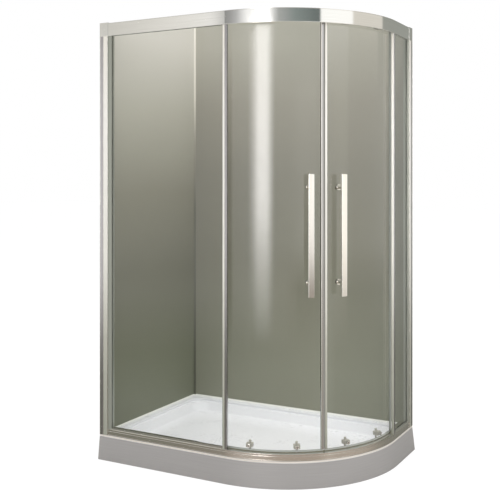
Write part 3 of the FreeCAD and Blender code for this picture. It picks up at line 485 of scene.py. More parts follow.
CHROME = Finish("polished_chrome", linear("F4F3F0"), linear("EEEDE9"), metallic=1.0,
                roughness=0.07, spread=0.02, grain=Grain.LEVEL, relief=0.008, depth=0.0001)
SILL = Finish("sill_polished", linear("F0ECE6"), linear("E6E1DA"), metallic=1.0,
              roughness=0.15, spread=0.03, grain=Grain.LEVEL, relief=0.012, depth=0.0001)
ALUMINIUM = Finish("bright_aluminium_drawn", linear("F2F1EE"), linear("E8E7E3"), metallic=1.0,
                   roughness=0.15, spread=0.04, grain=Grain.UPRIGHT, relief=0.04, depth=0.0001)
LILAC = Finish("mullion_anodised_grey", linear("C9C6C8"), linear("BDBABC"), metallic=1.0,
               roughness=0.16, spread=0.04, grain=Grain.UPRIGHT, relief=0.04, depth=0.0001)
# Jambs: duller, darker aluminium, painted shade of the recess in which they sit.
RECESS_SHADE = Finish("recess_anodised_painted_shade", linear("A9ABA1"), linear("9DA096"), metallic=0.55,
                roughness=0.34, spread=0.06, grain=Grain.UPRIGHT, relief=0.05, depth=0.0001)
HANDLE = Finish("handle_satin_chrome", linear("F6F3EE"), linear("EFECE6"), metallic=1.0,
                roughness=0.12, spread=0.03, grain=Grain.UPRIGHT, relief=0.03, depth=0.0001)
ACRYLIC = Finish("acrylic_white_gloss", linear("F2F2F5"), linear("EEEEF2"),
                 roughness=0.3, spread=0.06, grain=Grain.EVEN, relief=0.03, coat=0.25)
SKIRT = Finish("skirt_satin_grey", linear("9C9997"), linear("969391"), metallic=0.0,
               roughness=0.45, spread=0.06, grain=Grain.LEVEL, relief=0.05)
# Painted reflection: a cream line on the tray's white lip, for the surroundings mirrored in its rounded
# edge.
RIM_REFLECTION_BAND = Finish("rim_painted_reflection_cream", linear("DAD3CA"), linear("D3CCC3"),
                  roughness=0.35, grain=Grain.LEVEL, relief=0.04)
ZINC = Finish("zinc_plated_steel", linear("B9BDC0"), linear("8F9498"), metallic=0.9,
              roughness=0.45, spread=0.12, grain=Grain.EVEN, relief=0.15)
RUBBER = Finish("seal_translucent_grey", linear("B9BCB6"), linear("AEB1AB"),
                roughness=0.38, grain=Grain.UPRIGHT, relief=0.08)
GASKET = Finish("gasket_grey_rubber", linear("84867D"), linear("797B72"),
                roughness=0.5, grain=Grain.FINE, relief=0.15)
MAGNET = Finish("magnet_strip_grey", linear("A09F97"), linear("94938C"),
                roughness=0.45, grain=Grain.UPRIGHT, relief=0.08)
ROLLER = Finish("roller_housing_grey", linear("BEBBB2"), linear("B0ADA4"),
                roughness=0.4, grain=Grain.FINE, relief=0.2)
# Painted shade: dark grey discs that stand for the hollows of the hexagon sockets.
SOCKET_SHADE = Finish("socket_painted_shade", linear("5C5C57"), linear("50504C"),
                roughness=0.5, grain=Grain.FINE, relief=0.2)
# Painted reflection by height: olive grey at the foot and near white at the head, as the metal would
# mirror dark surroundings low down and bright ones high up.
EDGE_PAINTED_REFLECTION = PaintedLightUprightFinish(
    "edge_strip_pale_painted_reflection", linear("E4E0D8"), linear("DCD8D0"), metallic=0.25, roughness=0.3,
    grain=Grain.UPRIGHT, relief=0.03,
    tint_and_painted_light=((0.15, linear("A3A498")), (0.55, linear("B9B8AC")), (0.9, linear("E6E4DB")),
            (1.5, linear("F3F0EA")), (1.95, linear("EAE5DB"))),
)
NYLON = Finish("wheel_nylon_white", linear("E3E2DC"), linear("D6D5CF"),
               roughness=0.45, grain=Grain.FINE, relief=0.15)
PIPE = Finish("trap_white_plastic", linear("E6E6E2"), linear("DADAD6"),
              roughness=0.38, grain=Grain.FINE, relief=0.15)
# Black plastic of the feet, also used for the painted shade of the waste cover's slots.
BLACK_PLASTIC_AND_SLOT_SHADE = Finish("foot_black_plastic_and_slot_shade", linear("2C2C2C"), linear("222222"),
              roughness=0.5, grain=Grain.FINE, relief=0.25)
STOP = Finish("stop_black_rubber", linear("262626"), linear("1C1C1C"),
              roughness=0.6, grain=Grain.FINE, relief=0.25)
SILICONE = Finish("silicone_clear_white", linear("F2F2EE"), linear("EAEAE5"),
                  roughness=0.3, grain=Grain.EVEN, relief=0.1)
GLASS = GlassFinish("clear_glass_pane", (0.985, 0.99, 0.985))
# Grey-olive tint with painted light by height: darkest low down and pale at the head, as if lit from
# above.
LEFT_PANEL = PaintedLightUprightFinish(
    "wall_panel_left", linear("B0AA9C"), linear("A8A294"), roughness=0.55, grain=Grain.EVEN,
    relief=0.05,
    tint_and_painted_light=((0.3, linear("767967")), (0.8, linear("656452")), (1.2, linear("827F6E")),
            (1.6, linear("B3B0A2")), (1.96, linear("D8D4CB"))),
)
# Grey-olive tint with painted light by height: darker low down and paler at the head, as if lit from
# above.
REAR_PANEL = PaintedLightUprightFinish(
    "wall_panel_rear", linear("B0AA9C"), linear("A8A294"), roughness=0.55, grain=Grain.EVEN,
    relief=0.05,
    tint_and_painted_light=((0.3, linear("8A8B7B")), (0.85, linear("7E7C6D")), (1.3, linear("858276")),
            (1.65, linear("959185")), (1.96, linear("ABA89C"))),
)
# Painted light by height, following the panels: dark olive at the foot and near white at the head.
CORNER_PAINTED_LIGHT = PaintedLightUprightFinish(
    "corner_bead_satin_painted_light", linear("D8D4CA"), linear("CECABF"), roughness=0.35, grain=Grain.UPRIGHT,
    relief=0.05,
    tint_and_painted_light=((0.3, linear("5F6154")), (1.1, linear("676658")), (1.45, linear("A19D8F")),
            (1.7, linear("E2DED2")), (1.96, linear("F1EDE4"))),
)

SLOT_FINISH: dict[str, Surface] = {
    "acrylic_white": ACRYLIC,
    "skirt_grey": SKIRT,
    "zinc_steel": ZINC,
    "foot_black": BLACK_PLASTIC_AND_SLOT_SHADE,
    "chrome_trim": CHROME,
    "bright_aluminium": ALUMINIUM,
    "warm_chrome": HANDLE,
    "clear_glass": GLASS,
    "wall_panel_pale": LEFT_PANEL,
    "wall_panel_olive": REAR_PANEL,
    "seal_rubber": RUBBER,
    "magnet_seal": MAGNET,
    "roller_grey": ROLLER,
    "wheel_nylon": NYLON,
    "trap_plastic": PIPE,
    "stop_rubber": STOP,
}
NODE_FINISH: dict[str, Surface] = {
    # Corner bead: painted light by height.
    "corner_bead": CORNER_PAINTED_LIGHT,
    "bottom_rail": SILL,
    # Jambs: painted shade of their recess.
    "jamb_left": RECESS_SHADE,
    "jamb_right": RECESS_SHADE,
    "mullion_left": LILAC,
    # Right mullion: painted reflection by height.
    "mullion_right": EDGE_PAINTED_REFLECTION,
    "meeting_profile_left": LILAC,
    "meeting_profile_right": LILAC,
    "roller_bolts_left": ALUMINIUM,
    "roller_bolts_right": ALUMINIUM,
}


class Paintbox:
    """Builds each finish once and puts it on nodes and pieces."""

    def __init__(self) -> None:
        """Start with no material made."""
        self.made: dict[str, bpy.types.Material] = {}

    def material(self, finish: Surface) -> bpy.types.Material:
        """Make a finish's material, or find it if it is made.

        Args:
            finish: The finish.

        Returns:
            Its material.
        """
        if finish.name not in self.made:
            self.made[finish.name] = finish.build()
        return self.made[finish.name]

    def coat(self, piece: bpy.types.Object, finish: Surface) -> None:
        """Give a piece one finish all over."""
        piece.data.materials.clear()
        piece.data.materials.append(self.material(finish))

    def dress_nodes(self, frame: dict) -> None:
        """Put each node's finish in its material slots.

        Args:
            frame: The frame as load() returns it.
        """
        slots = {part["node"]: part["material_slot"] for part in frame["record"]["subparts"]}
        for name, node in frame["nodes"].items():
            finish = NODE_FINISH.get(name, SLOT_FINISH[slots[name]])
            for slot in node.material_slots:
                slot.material = self.material(finish)
            LOG.info("node %s: %s", name, finish.name)


# ---------------------------------------------------------------- shapes
@dataclass(frozen=True)
class Station:
    """A point of a path in plan, with the direction that faces outwards there.

    Attributes:
        x: The point's X.
        y: The point's Y.
        out_x: X of the direction, which has length 1.
        out_y: Y of the direction.
    """

    x: float
    y: float
    out_x: float
    out_y: float


def front_path(start: float, stop: float, steps: int = 72) -> list[Station]:
    """The tray's front line: long straight, curve, short straight.

    Args:
        start: X of the first point on the long straight.
        stop: Y of the last point on the short straight.
        steps: Number of pieces that the curve is divided into.

    Returns:
        The path's stations in order.
    """
    cx, cy = ARC_CENTRE
    path = [Station(start, FRONT_LINE, 0.0, -1.0)]
    for step in range(steps + 1):
        turn = math.radians(-90 + 90 * step / steps)
        out_x, out_y = math.cos(turn), math.sin(turn)
        path.append(Station(cx + ARC_RADIUS * out_x, cy + ARC_RADIUS * out_y, out_x, out_y))
    path.append(Station(RIGHT_LINE, stop, 1.0, 0.0))
    return path


def door_turn(side: Side, length: float) -> float:
    """Direction from the curve's centre of a point on a door, in radians."""
    return MEETING_TURN + side.sign * length / DOOR_RADIUS


def straight(first: tuple[float, float], last: tuple[float, float],
             out: tuple[float, float]) -> list[Station]:
    """A straight path between two points of the plan."""
    return [Station(*first, *out), Station(*last, *out)]


def finish_mesh(name: str, build: bmesh.types.BMesh, sharp: float = 32.0) -> bpy.types.Object:
    """Turn a built mesh into a smooth-shaded piece with sharp corners kept.

    Args:
        name: The piece's name.
        build: The mesh being built, freed afterwards.
        sharp: Angle in degrees above which an edge stays sharp.

    Returns:
        The new piece, linked to the scene.
    """
    bmesh.ops.recalc_face_normals(build, faces=build.faces)
    mesh = bpy.data.meshes.new(name)
    build.to_mesh(mesh)
    build.free()
    mesh.shade_smooth()
    mesh.set_sharp_from_angle(angle=math.radians(sharp))
    piece = bpy.data.objects.new(name, mesh)
    bpy.context.scene.collection.objects.link(piece)
    return piece


def add_sweep(build: bmesh.types.BMesh, path: Sequence[Station], section: Section) -> None:
    """Add a closed section carried along a path to a mesh.

    Args:
        build: The mesh being built.
        path: Stations to carry it along.
        section: Distance outwards from the path and height of each corner, in order.
    """
    rings = [
        [build.verts.new((spot.x + spot.out_x * out, spot.y + spot.out_y * out, z))
         for out, z in section]
        for spot in path
    ]
    count = len(section)
    for ring, after in zip(rings, rings[1:]):
        for corner in range(count):
            follow = (corner + 1) % count
            build.faces.new((ring[corner], ring[follow], after[follow], after[corner]))
    build.faces.new(rings[0])
    build.faces.new(tuple(reversed(rings[-1])))


def sweep(name: str, path: Sequence[Station], *sections: Section) -> bpy.types.Object:
    """Make a piece of one or more sections carried along one path.

    Args:
        name: The piece's name.
        path: Stations to carry them along.
        *sections: The closed sections.

    Returns:
        The new piece.
    """
    build = bmesh.new()
    for section in sections:
        add_sweep(build, path, section)
    return finish_mesh(name, build)


def rounded(low: float, high: float, foot: float, head: float, radius: float,
            steps: int = 3) -> list[tuple[float, float]]:
    """Section of a bar with rounded edges.

    Args:
        low: Least distance outwards.
        high: Greatest distance outwards.
        foot: Lowest height.
        head: Greatest height.
        radius: Radius of the rounding.
        steps: Pieces in each rounding.

    Returns:
        The section's corners.
    """
    centres = ((high - radius, head - radius, 0), (low + radius, head - radius, 90),
               (low + radius, foot + radius, 180), (high - radius, foot + radius, 270))
    section = []
    for x, z, start in centres:
        for step in range(steps + 1):
            turn = math.radians(start + 90 * step / steps)
            section.append((x + radius * math.cos(turn), z + radius * math.sin(turn)))
    return section


def add_lathe(build: bmesh.types.BMesh, outline: Section, place: Matrix, count: int = 40) -> None:
    """Add a turned piece to a mesh.

    Args:
        build: The mesh being built.
        outline: Radius and distance along the axis of each corner, from one end to the other.
        place: Where its axis, the local Z, lies.
        count: Sides in a full turn.
    """
    rings = []
    for radius, along in outline:
        if radius == 0:
            rings.append([build.verts.new(place @ Vector((0, 0, along)))])
            continue
        turns = (2 * math.pi * step / count for step in range(count))
        rings.append([
            build.verts.new(place @ Vector((radius * math.cos(turn), radius * math.sin(turn), along)))
            for turn in turns
        ])
    for ring, after in zip(rings, rings[1:]):
        for step in range(count):
            follow = (step + 1) % count
            corners = [ring[step % len(ring)], ring[follow % len(ring)],
                       after[follow % len(after)], after[step % len(after)]]
            unique = list(dict.fromkeys(corners))
            if len(unique) > 2:
                build.faces.new(unique)


def lathe(name: str, outline: Section, places: Iterable[Matrix], count: int = 40) -> bpy.types.Object:
    """Make a piece of one or more equal turned shapes.

    Args:
        name: The piece's name.
        outline: Radius and distance along the axis of each corner.
        places: Where each shape's axis, the local Z, lies.
        count: Sides in a full turn.

    Returns:
        The new piece.
    """
    build = bmesh.new()
    for place in places:
        add_lathe(build, outline, place, count)
    return finish_mesh(name, build)


def add_upright(build: bmesh.types.BMesh, spot: Station, section: Section, foot: float,
                head: float) -> None:
    """Add an upright bar to a mesh.

    Args:
        build: The mesh being built.
        spot: Where its section's zero stands and which way it faces.
        section: Distance anticlockwise along the front and distance outwards of each corner.
        foot: Height of its foot.
        head: Height of its head.
    """
    rings = [
        [build.verts.new((spot.x - spot.out_y * along + spot.out_x * out,
                          spot.y + spot.out_x * along + spot.out_y * out, z))
         for along, out in section]
        for z in (foot, head)
    ]
    count = len(section)
    for corner in range(count):
        follow = (corner + 1) % count
        build.faces.new((rings[0][corner], rings[0][follow], rings[1][follow], rings[1][corner]))
    build.faces.new(rings[0])
    build.faces.new(tuple(reversed(rings[1])))


def upright(name: str, foot: float, head: float,
            *bars: tuple[Station, Section]) -> bpy.types.Object:
    """Make a piece of one or more upright bars between two heights.

    Args:
        name: The piece's name.
        foot: Height of the bars' feet.
        head: Height of their heads.
        *bars: Place and section of each bar.

    Returns:
        The new piece.
    """
    build = bmesh.new()
    for spot, section in bars:
        add_upright(build, spot, section, foot, head)
    return finish_mesh(name, build)


def facing(point: Point, direction: Point) -> Matrix:
    """A place whose local Z points in a direction."""
    turn = Vector(direction).to_track_quat("Z", "Y").to_matrix().to_4x4()
    return Matrix.Translation(point) @ turn


def door_station(side: Side, length: float) -> Station:
    """Find a point of a door's middle surface.

    Args:
        side: Which door.
        length: Distance along the glass from the meeting line.

    Returns:
        The point, with the direction that faces outwards there.
    """
    turn = door_turn(side, length)
    out_x, out_y = math.cos(turn), math.sin(turn)
    return Station(ARC_CENTRE[0] + DOOR_RADIUS * out_x, ARC_CENTRE[1] + DOOR_RADIUS * out_y,
                   out_x, out_y)


def on_door(side: Side, length: float, out: float, z: float) -> Matrix:
    """Find a place on a door, its local Z facing outwards.

    Args:
        side: Which door.
        length: Distance along the glass from the meeting line.
        out: Distance outwards from the pane's middle.
        z: Height.

    Returns:
        The place as a matrix.
    """
    spot = door_station(side, length)
    point = (spot.x + spot.out_x * out, spot.y + spot.out_y * out, z)
    return facing(point, (spot.out_x, spot.out_y, 0.0))


def rail_path() -> list[Station]:
    """The front line between the two wall channels, along which the rails run."""
    return front_path(LEFT_WALL + PROFILE_WIDTH, REAR_WALL - PROFILE_WIDTH)


@dataclass
class Assembly:
    """What every sub-assembly shares: the paintbox and a way to hand over a piece.

    Attributes:
        paint: The paintbox.
    """

    paint: Paintbox
    body = ROOT

    def hand_over(self, piece: bpy.types.Object, finish: Surface, slot: str,
                  body: Optional[str] = None) -> None:
        """Finish a piece, put it on its body and report it.

        Args:
            piece: The piece.
            finish: Its finish.
            slot: The record's material slot that it belongs to; not used.
            body: The body that it rides on, if not the assembly's own.
        """
        self.paint.coat(piece, finish)
        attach(piece, body or self.body)
        LOG.info("piece %s: %d faces", piece.name, len(piece.data.polygons))

    def build(self) -> None:
        """Make the assembly's pieces; each sub-assembly has its own."""
        raise NotImplementedError


# ---------------------------------------------------------------- studio
@dataclass(frozen=True)
class Lamp:
    """A square soft lamp.

    Attributes:
        name: The lamp's name.
        spot: Where it hangs.
        power: Its power in watts.
        width: Width of its square.
    """

    name: str
    spot: Point
    power: float
    width: float


@dataclass(frozen=True)
class ScreenBand:
    """One band of the screens round the studio, which glossy pieces mirror.

    The lowest band has none below it and leaves its two rises as they are.

    Attributes:
        stops: Compass angles in degrees with the light there.
        low: Rise of a direction at which the band below still shows alone.
        high: Rise at which this band shows alone.
    """

    stops: tuple[tuple[float, Colour], ...]
    low: float = -1.0
    high: float = -1.0


@dataclass(frozen=True)
class StripLamp:
    """Upright strip lamp that the curved glass and the metal mirror.

    Attributes:
        strength: Its strength where it is brightest.
        tint: Colour of its light.
        across: Compass angles in degrees with the share of its light there.
        upward: Shares of the way from its foot to its head with the share of its light there.
        foot: Rise of a direction to its foot.
        head: Rise of a direction to its head.
    """

    strength: float = 6.7
    tint: Colour = (1.0, 0.972, 0.965)
    across: Pairs = ((-98.5, 0.0), (-94, 0.2), (-87.5, 1.0), (-79.5, 1.0), (-74.5, 0.25),
                     (-71.5, 0.0))
    upward: Pairs = ((0.0, 0.0), (0.182, 0.33), (0.423, 0.94), (0.664, 1.0), (0.90, 0.82),
                     (0.935, 0.75), (0.955, 0.0))
    foot: float = -0.19
    head: float = 0.20

    def glow(self, shader: Shader, turn: bpy.types.NodeSocket,
             rise: bpy.types.NodeSocket) -> bpy.types.NodeSocket:
        """Add the strength of the lamp's light in each direction.

        Args:
            shader: The world's nodes.
            turn: The direction's compass angle as a share of a turn.
            rise: The direction's rise.

        Returns:
            The strength's output.
        """
        across = shader.ramp([(degrees_share(angle), grey(level)) for angle, level in self.across], turn)
        way_up = shader.stretch(rise, self.foot, self.head, 0.0, 1.0)
        upward = shader.ramp([(place, grey(level)) for place, level in self.upward], way_up)
        return shader.arithmetic("MULTIPLY", shader.arithmetic("MULTIPLY", across, upward), self.strength)


@dataclass(frozen=True)
class FloorFinish(Surface):
    """Matt white floor, which the camera sees a little whiter than the light leaves it.

    Attributes:
        paint: Colour of its paint.
        glow: Strength of the white that the camera sees.
        share: Share of that white in what the camera sees.
    """

    paint: Colour = (0.95, 0.95, 0.95)
    glow: float = 1.07
    share: float = 0.8

    def shading(self, shader: Shader) -> bpy.types.NodeSocket:
        """Add the matt paint and the white over it.

        Args:
            shader: The material's nodes.

        Returns:
            The floor's shader output.
        """
        matt = shader.add("BsdfDiffuse", Color=(*self.paint, 1.0))
        glow = shader.add("Emission", Strength=self.glow)
        share = shader.arithmetic("MULTIPLY", shader.seen(), self.share)
        return shader.mix(share, matt.outputs[0], glow.outputs[0])


# The screens' bands, from the ground upwards.
GROUND_BAND = ScreenBand((
    (-180, (0.19, 0.195, 0.16)), (-128, (0.19, 0.195, 0.16)), (-123, (0.22, 0.215, 0.18)),
    (-118, (0.38, 0.33, 0.29)), (-106, (0.58, 0.52, 0.47)), (-96, (0.58, 0.52, 0.47)),
    (-70, (0.46, 0.39, 0.34)), (-24, (0.46, 0.40, 0.35)), (2, (0.58, 0.51, 0.45)),
    (24, (0.52, 0.47, 0.41)), (50, (0.30, 0.29, 0.25)), (74, (0.26, 0.26, 0.23)),
    (120, (0.19, 0.195, 0.16)),
))
DUSK_BAND = ScreenBand((
    (-180, (0.2, 0.205, 0.17)), (-118, (0.20, 0.20, 0.17)), (-96, (0.26, 0.25, 0.21)),
    (-50, (0.28, 0.25, 0.20)), (-30, (0.33, 0.30, 0.25)), (-20, (0.66, 0.63, 0.56)),
    (-12, (0.24, 0.23, 0.20)), (30, (0.16, 0.16, 0.14)), (74, (0.2, 0.205, 0.18)),
    (120, (0.19, 0.195, 0.16)),
), low=-0.305, high=-0.275)
NEAR_BAND = ScreenBand((
    (-180, (0.6, 0.6, 0.57)), (-129, (0.9, 0.9, 0.88)), (-119, (0.72, 0.71, 0.68)),
    (-96, (0.9, 0.9, 0.88)), (-62, (0.7, 0.66, 0.6)), (-48, (0.22, 0.18, 0.15)),
    (-31, (0.24, 0.20, 0.17)), (-20, (0.9, 0.88, 0.82)), (-6, (0.82, 0.77, 0.70)),
    (4, (0.30, 0.30, 0.28)), (55, (0.28, 0.28, 0.26)), (74, (0.34, 0.35, 0.33)),
    (120, (0.45, 0.45, 0.42)),
), low=-0.20, high=-0.13)
MIDDLE_BAND = ScreenBand((
    (-180, (0.6, 0.6, 0.57)), (-129, (0.95, 0.95, 0.93)), (-124, (0.95, 0.95, 0.93)),
    (-119, (0.75, 0.74, 0.71)), (-96, (1.0, 1.0, 1.0)), (-60, (0.9, 0.89, 0.85)),
    (-42, (1.16, 1.14, 1.10)), (-34, (1.16, 1.14, 1.10)), (-28, (0.98, 0.97, 0.91)),
    (-18, (0.98, 0.97, 0.91)), (-12, (1.17, 1.14, 1.06)), (-2, (1.17, 1.14, 1.06)),
    (8, (0.80, 0.78, 0.74)), (55, (0.62, 0.61, 0.58)), (74, (0.36, 0.37, 0.35)),
    (120, (0.5, 0.5, 0.47)),
), low=-0.128, high=-0.076)
UPPER_BAND = ScreenBand((
    (-180, (0.5, 0.5, 0.47)), (-130, (0.56, 0.55, 0.51)), (-124, (0.80, 0.78, 0.74)),
    (-120.4, (0.95, 0.94, 0.92)), (-119.4, (0.27, 0.27, 0.265)), (-108, (0.5, 0.5, 0.5)),
    (-98, (1.0, 1.0, 1.0)), (-77, (1.0, 1.0, 1.0)), (-68, (0.42, 0.43, 0.42)),
    (-52, (0.24, 0.28, 0.27)), (-29.5, (0.14, 0.165, 0.16)), (-28.0, (1.12, 1.12, 1.10)),
    (4, (1.12, 1.12, 1.10)), (6, (0.74, 0.71, 0.65)), (44, (0.74, 0.71, 0.65)),
    (46, (0.34, 0.35, 0.32)), (74, (0.33, 0.34, 0.31)), (120, (0.5, 0.5, 0.47)),
), low=0.10, high=0.17)


@dataclass(frozen=True)
class Studio:
    """Camera, floor and the studio's light.

    Attributes:
        eye: Where the camera stands.
        yaw: The camera's heading in degrees, anticlockwise from +Y.
        lens: Focal length in millimetres.
        rise: Vertical shift of the view.
        sight: Distance in metres up to which the camera sees.
        aim: The point that the lamps face.
        lamps: The soft lamps in front, overhead and on the right.
        ambient: Level of the even light.
        screens: The screens' bands, from the ground upwards.
        strip: The strip lamp.
        floor: The floor's finish.
        reach: Distance from the floor's middle to its edges.
    """

    eye: Point = (1.8127, -3.4419, 1.2617)
    yaw: float = 28.4
    lens: float = 61.135
    rise: float = -0.1426
    sight: float = 60.0
    aim: Point = (0.0, 0.0, 0.9)
    lamps: tuple[Lamp, ...] = (Lamp("soft_key", (-0.8, -3.2, 4.6), 26.0, 5.0),
                               Lamp("soft_top", (-0.15, -0.1, 6.0), 230.0, 1.8),
                               Lamp("soft_fill", (4.0, -1.8, 1.8), 42.0, 3.0))
    ambient: float = 0.77
    screens: tuple[ScreenBand, ...] = (GROUND_BAND, DUSK_BAND, NEAR_BAND, MIDDLE_BAND, UPPER_BAND)
    strip: StripLamp = StripLamp()
    floor: FloorFinish = FloorFinish("studio_floor_white")
    reach: float = 30.0

    def place_camera(self) -> None:
        """Stand the camera where the photograph was taken from."""
        data = bpy.data.cameras.new("camera")
        data.lens = self.lens
        data.shift_y = self.rise
        data.clip_end = self.sight
        camera = bpy.data.objects.new("camera", data)
        camera.location = self.eye
        camera.rotation_euler = (math.radians(90), 0.0, math.radians(self.yaw))
        bpy.context.scene.collection.objects.link(camera)
        bpy.context.scene.camera = camera

    def hang_lamps(self) -> None:
        """Hang the soft lamps, which glossy pieces don't mirror."""
        for lamp in self.lamps:
            data = bpy.data.lights.new(lamp.name, "AREA")
            data.energy = lamp.power
            data.size = lamp.width
            hung = bpy.data.objects.new(lamp.name, data)
            hung.location = lamp.spot
            way = Vector(self.aim) - Vector(lamp.spot)
            hung.rotation_euler = way.to_track_quat("-Z", "Y").to_euler()
            hung.visible_glossy = False
            bpy.context.scene.collection.objects.link(hung)

    def screen_light(self, shader: Shader, turn: bpy.types.NodeSocket,
                     rise: bpy.types.NodeSocket) -> bpy.types.NodeSocket:
        """Add the screens' light, blended from each band to the one above it.

        Args:
            shader: The world's nodes.
            turn: The direction's compass angle as a share of a turn.
            rise: The direction's rise.

        Returns:
            The output with the light's colour.
        """
        ramps = [
            shader.ramp([(degrees_share(angle), colour) for angle, colour in band.stops], turn)
            for band in self.screens
        ]
        light = ramps[0]
        for band, ramp in zip(self.screens[1:], ramps[1:]):
            blend = shader.add("Mix", data_type="RGBA")
            shader.link(shader.stretch(rise, band.low, band.high, 0.0, 1.0), blend.inputs["Factor"])
            shader.link(light, blend.inputs["A"])
            shader.link(ramp, blend.inputs["B"])
            light = blend.outputs["Result"]
        return light

    def light_world(self) -> None:
        """Light the studio: white behind, even all round, and screens for what is glossy."""
        world = bpy.data.worlds.new("studio")
        world.use_nodes = True
        world.cycles.sampling_method = "NONE"
        bpy.context.scene.world = world
        shader = Shader(world.node_tree)
        turn, rise = shader.direction()
        panels = shader.add("Background")
        shader.link(self.screen_light(shader, turn, rise), panels.inputs["Color"])
        lamp = shader.add("Background", Color=(*self.strip.tint, 1.0))
        shader.link(self.strip.glow(shader, turn, rise), lamp.inputs["Strength"])
        mirrored = shader.add("AddShader")
        shader.link(panels.outputs[0], mirrored.inputs[0])
        shader.link(lamp.outputs[0], mirrored.inputs[1])
        even = shader.add("Background", Color=(1.0, 1.0, 1.0, 1.0), Strength=self.ambient)
        backdrop = shader.add("Background", Color=(1.0, 1.0, 1.0, 1.0), Strength=1.0)
        rays = shader.add("LightPath")
        lit = shader.mix(rays.outputs["Is Glossy Ray"], even.outputs[0], mirrored.outputs[0])
        output = shader.add("OutputWorld")
        shader.link(shader.mix(shader.seen(), lit, backdrop.outputs[0]), output.inputs["Surface"])

    def lay_floor(self) -> None:
        """Lay the pale floor, which keeps the object's shadow."""
        build = bmesh.new()
        bmesh.ops.create_grid(build, x_segments=1, y_segments=1, size=self.reach)
        bmesh.ops.translate(build, verts=build.verts, vec=(0.0, 0.0, -SPARE))
        floor = finish_mesh("studio_floor", build)
        floor.data.materials.append(self.floor.build())
        floor.visible_glossy = False

    def build(self) -> None:
        """Set the studio up."""
        bpy.context.scene.view_settings.view_transform = "Standard"
        self.place_camera()
        self.hang_lamps()
        self.light_world()
        self.lay_floor()
        LOG.info("studio: camera at %s", self.eye)


# ---------------------------------------------------------------- sub-assemblies
@dataclass
class HeadRailTrim(Assembly):
    """Beads along the head rail's fascia and the screws of the wall channels' caps.

    Attributes:
        proud: How far a bead stands out.
        edge: Rounding of its edges.
        upper: Height of the upper bead.
        lower: Height of the lower bead.
        recess: Depth of the recess in a screw's head.
        screw: Outline of a screw's head, from the middle of its recess.
    """

    proud: float = 0.0009
    edge: float = 0.0004
    upper: float = 0.0022
    lower: float = 0.0030
    recess: float = 0.0011
    screw: Outline = ((0, 0.0), (0.0016, 0.0), (0.0016, 0.0011), (0.0036, 0.0011), (0.0040, 0.0006),
                      (0.0040, -0.0002))

    def build(self) -> None:
        """Make the fascia's two beads and the cap screws."""
        sections = [rounded(RAIL_FACE, RAIL_FACE + self.proud, foot, head, self.edge)
                    for foot, head in ((HEAD_FOOT, HEAD_FOOT + self.lower), (TOP - self.upper, TOP))]
        self.hand_over(sweep("head_rail_beads", rail_path(), *sections), CHROME, "chrome_trim")
        spots = [(LEFT_WALL + PROFILE_WIDTH / 2, FRONT_LINE + PROFILE_DEPTH / 2),
                 (RIGHT_LINE - PROFILE_DEPTH / 2, REAR_WALL - PROFILE_WIDTH / 2)]
        places = [facing((x, y, CAP_TOP - self.recess), (0, 0, 1)) for x, y in spots]
        self.hand_over(lathe("cap_screws", self.screw, places), CHROME, "chrome_trim")


@dataclass
class SillTrim(Assembly):
    """Steps along the sill's front face.

    Attributes:
        steps: Heights above the tray's rim of each step's foot and head.
        proud: How far a step stands out.
        edge: Rounding of its edges.
    """

    steps: Pairs = ((0.0, 0.0040), (0.0160, 0.0200), (0.0250, 0.0280))
    proud: float = 0.0006
    edge: float = 0.0002

    def build(self) -> None:
        """Make the steps."""
        sections = [rounded(RAIL_FACE, RAIL_FACE + self.proud, RIM + foot, RIM + head, self.edge)
                    for foot, head in self.steps]
        self.hand_over(sweep("sill_steps", rail_path(), *sections), SILL, "chrome_trim")


@dataclass
class RimTrim(Assembly):
    """Cream edge band round the outer face of the tray's lip: a painted reflection, a slightly darker,
    warmer line that stands in for the surroundings mirrored in the lip's rounded white edge.

    Attributes:
        foot: Height of the band's lower edge above the lip's foot.
        head: Depth of the band's upper edge below the rim.
        proud: How far the band stands out.
        edge: Rounding of its edges.
        lip: Height of the tray's lip.
        gap: Distance from the walls to the band's ends.
    """

    foot: float = 0.0008
    head: float = 0.0006
    proud: float = 0.0005
    edge: float = 0.0002
    lip: float = 0.008
    gap: float = 0.001

    def build(self) -> None:
        """Make the band."""
        path = front_path(LEFT_WALL + self.gap, REAR_WALL - self.gap)
        section = rounded(-LET_IN, self.proud, RIM - self.lip + self.foot, RIM - self.head, self.edge)
        self.hand_over(sweep("rim_band", path, section), RIM_REFLECTION_BAND, "skirt_grey")


@dataclass
class PanelTrim(Assembly):
    """Sealant along the feet of the wall panels.

    Attributes:
        leg: Width and height of the run of sealant.
        hollow: Shares of the leg that place the two corners of its hollow face.
        face: Distance of the panels' faces from the walls, with a hair to spare.
        gap: Distance from the wall channels to the run's ends.
    """

    leg: float = 0.006
    hollow: tuple[float, float] = (0.3, 0.55)
    face: float = 0.0052
    gap: float = 0.001

    def build(self) -> None:
        """Make the two runs of sealant."""
        less, more = (share * self.leg for share in self.hollow)
        section = [(0.0, RIM), (0.0, RIM + self.leg), (less, RIM + more), (more, RIM + less),
                   (self.leg, RIM)]
        left, rear = LEFT_WALL + self.face, REAR_WALL - self.face
        build = bmesh.new()
        add_sweep(build, straight((left, rear), (left, FRONT_LINE + PROFILE_DEPTH + self.gap), (1.0, 0.0)),
                  section)
        add_sweep(build, straight((RIGHT_LINE - PROFILE_DEPTH - self.gap, rear), (left + SPARE, rear),
                                  (0.0, -1.0)), section)
        self.hand_over(finish_mesh("panel_sealant", build), SILICONE, "acrylic_white")


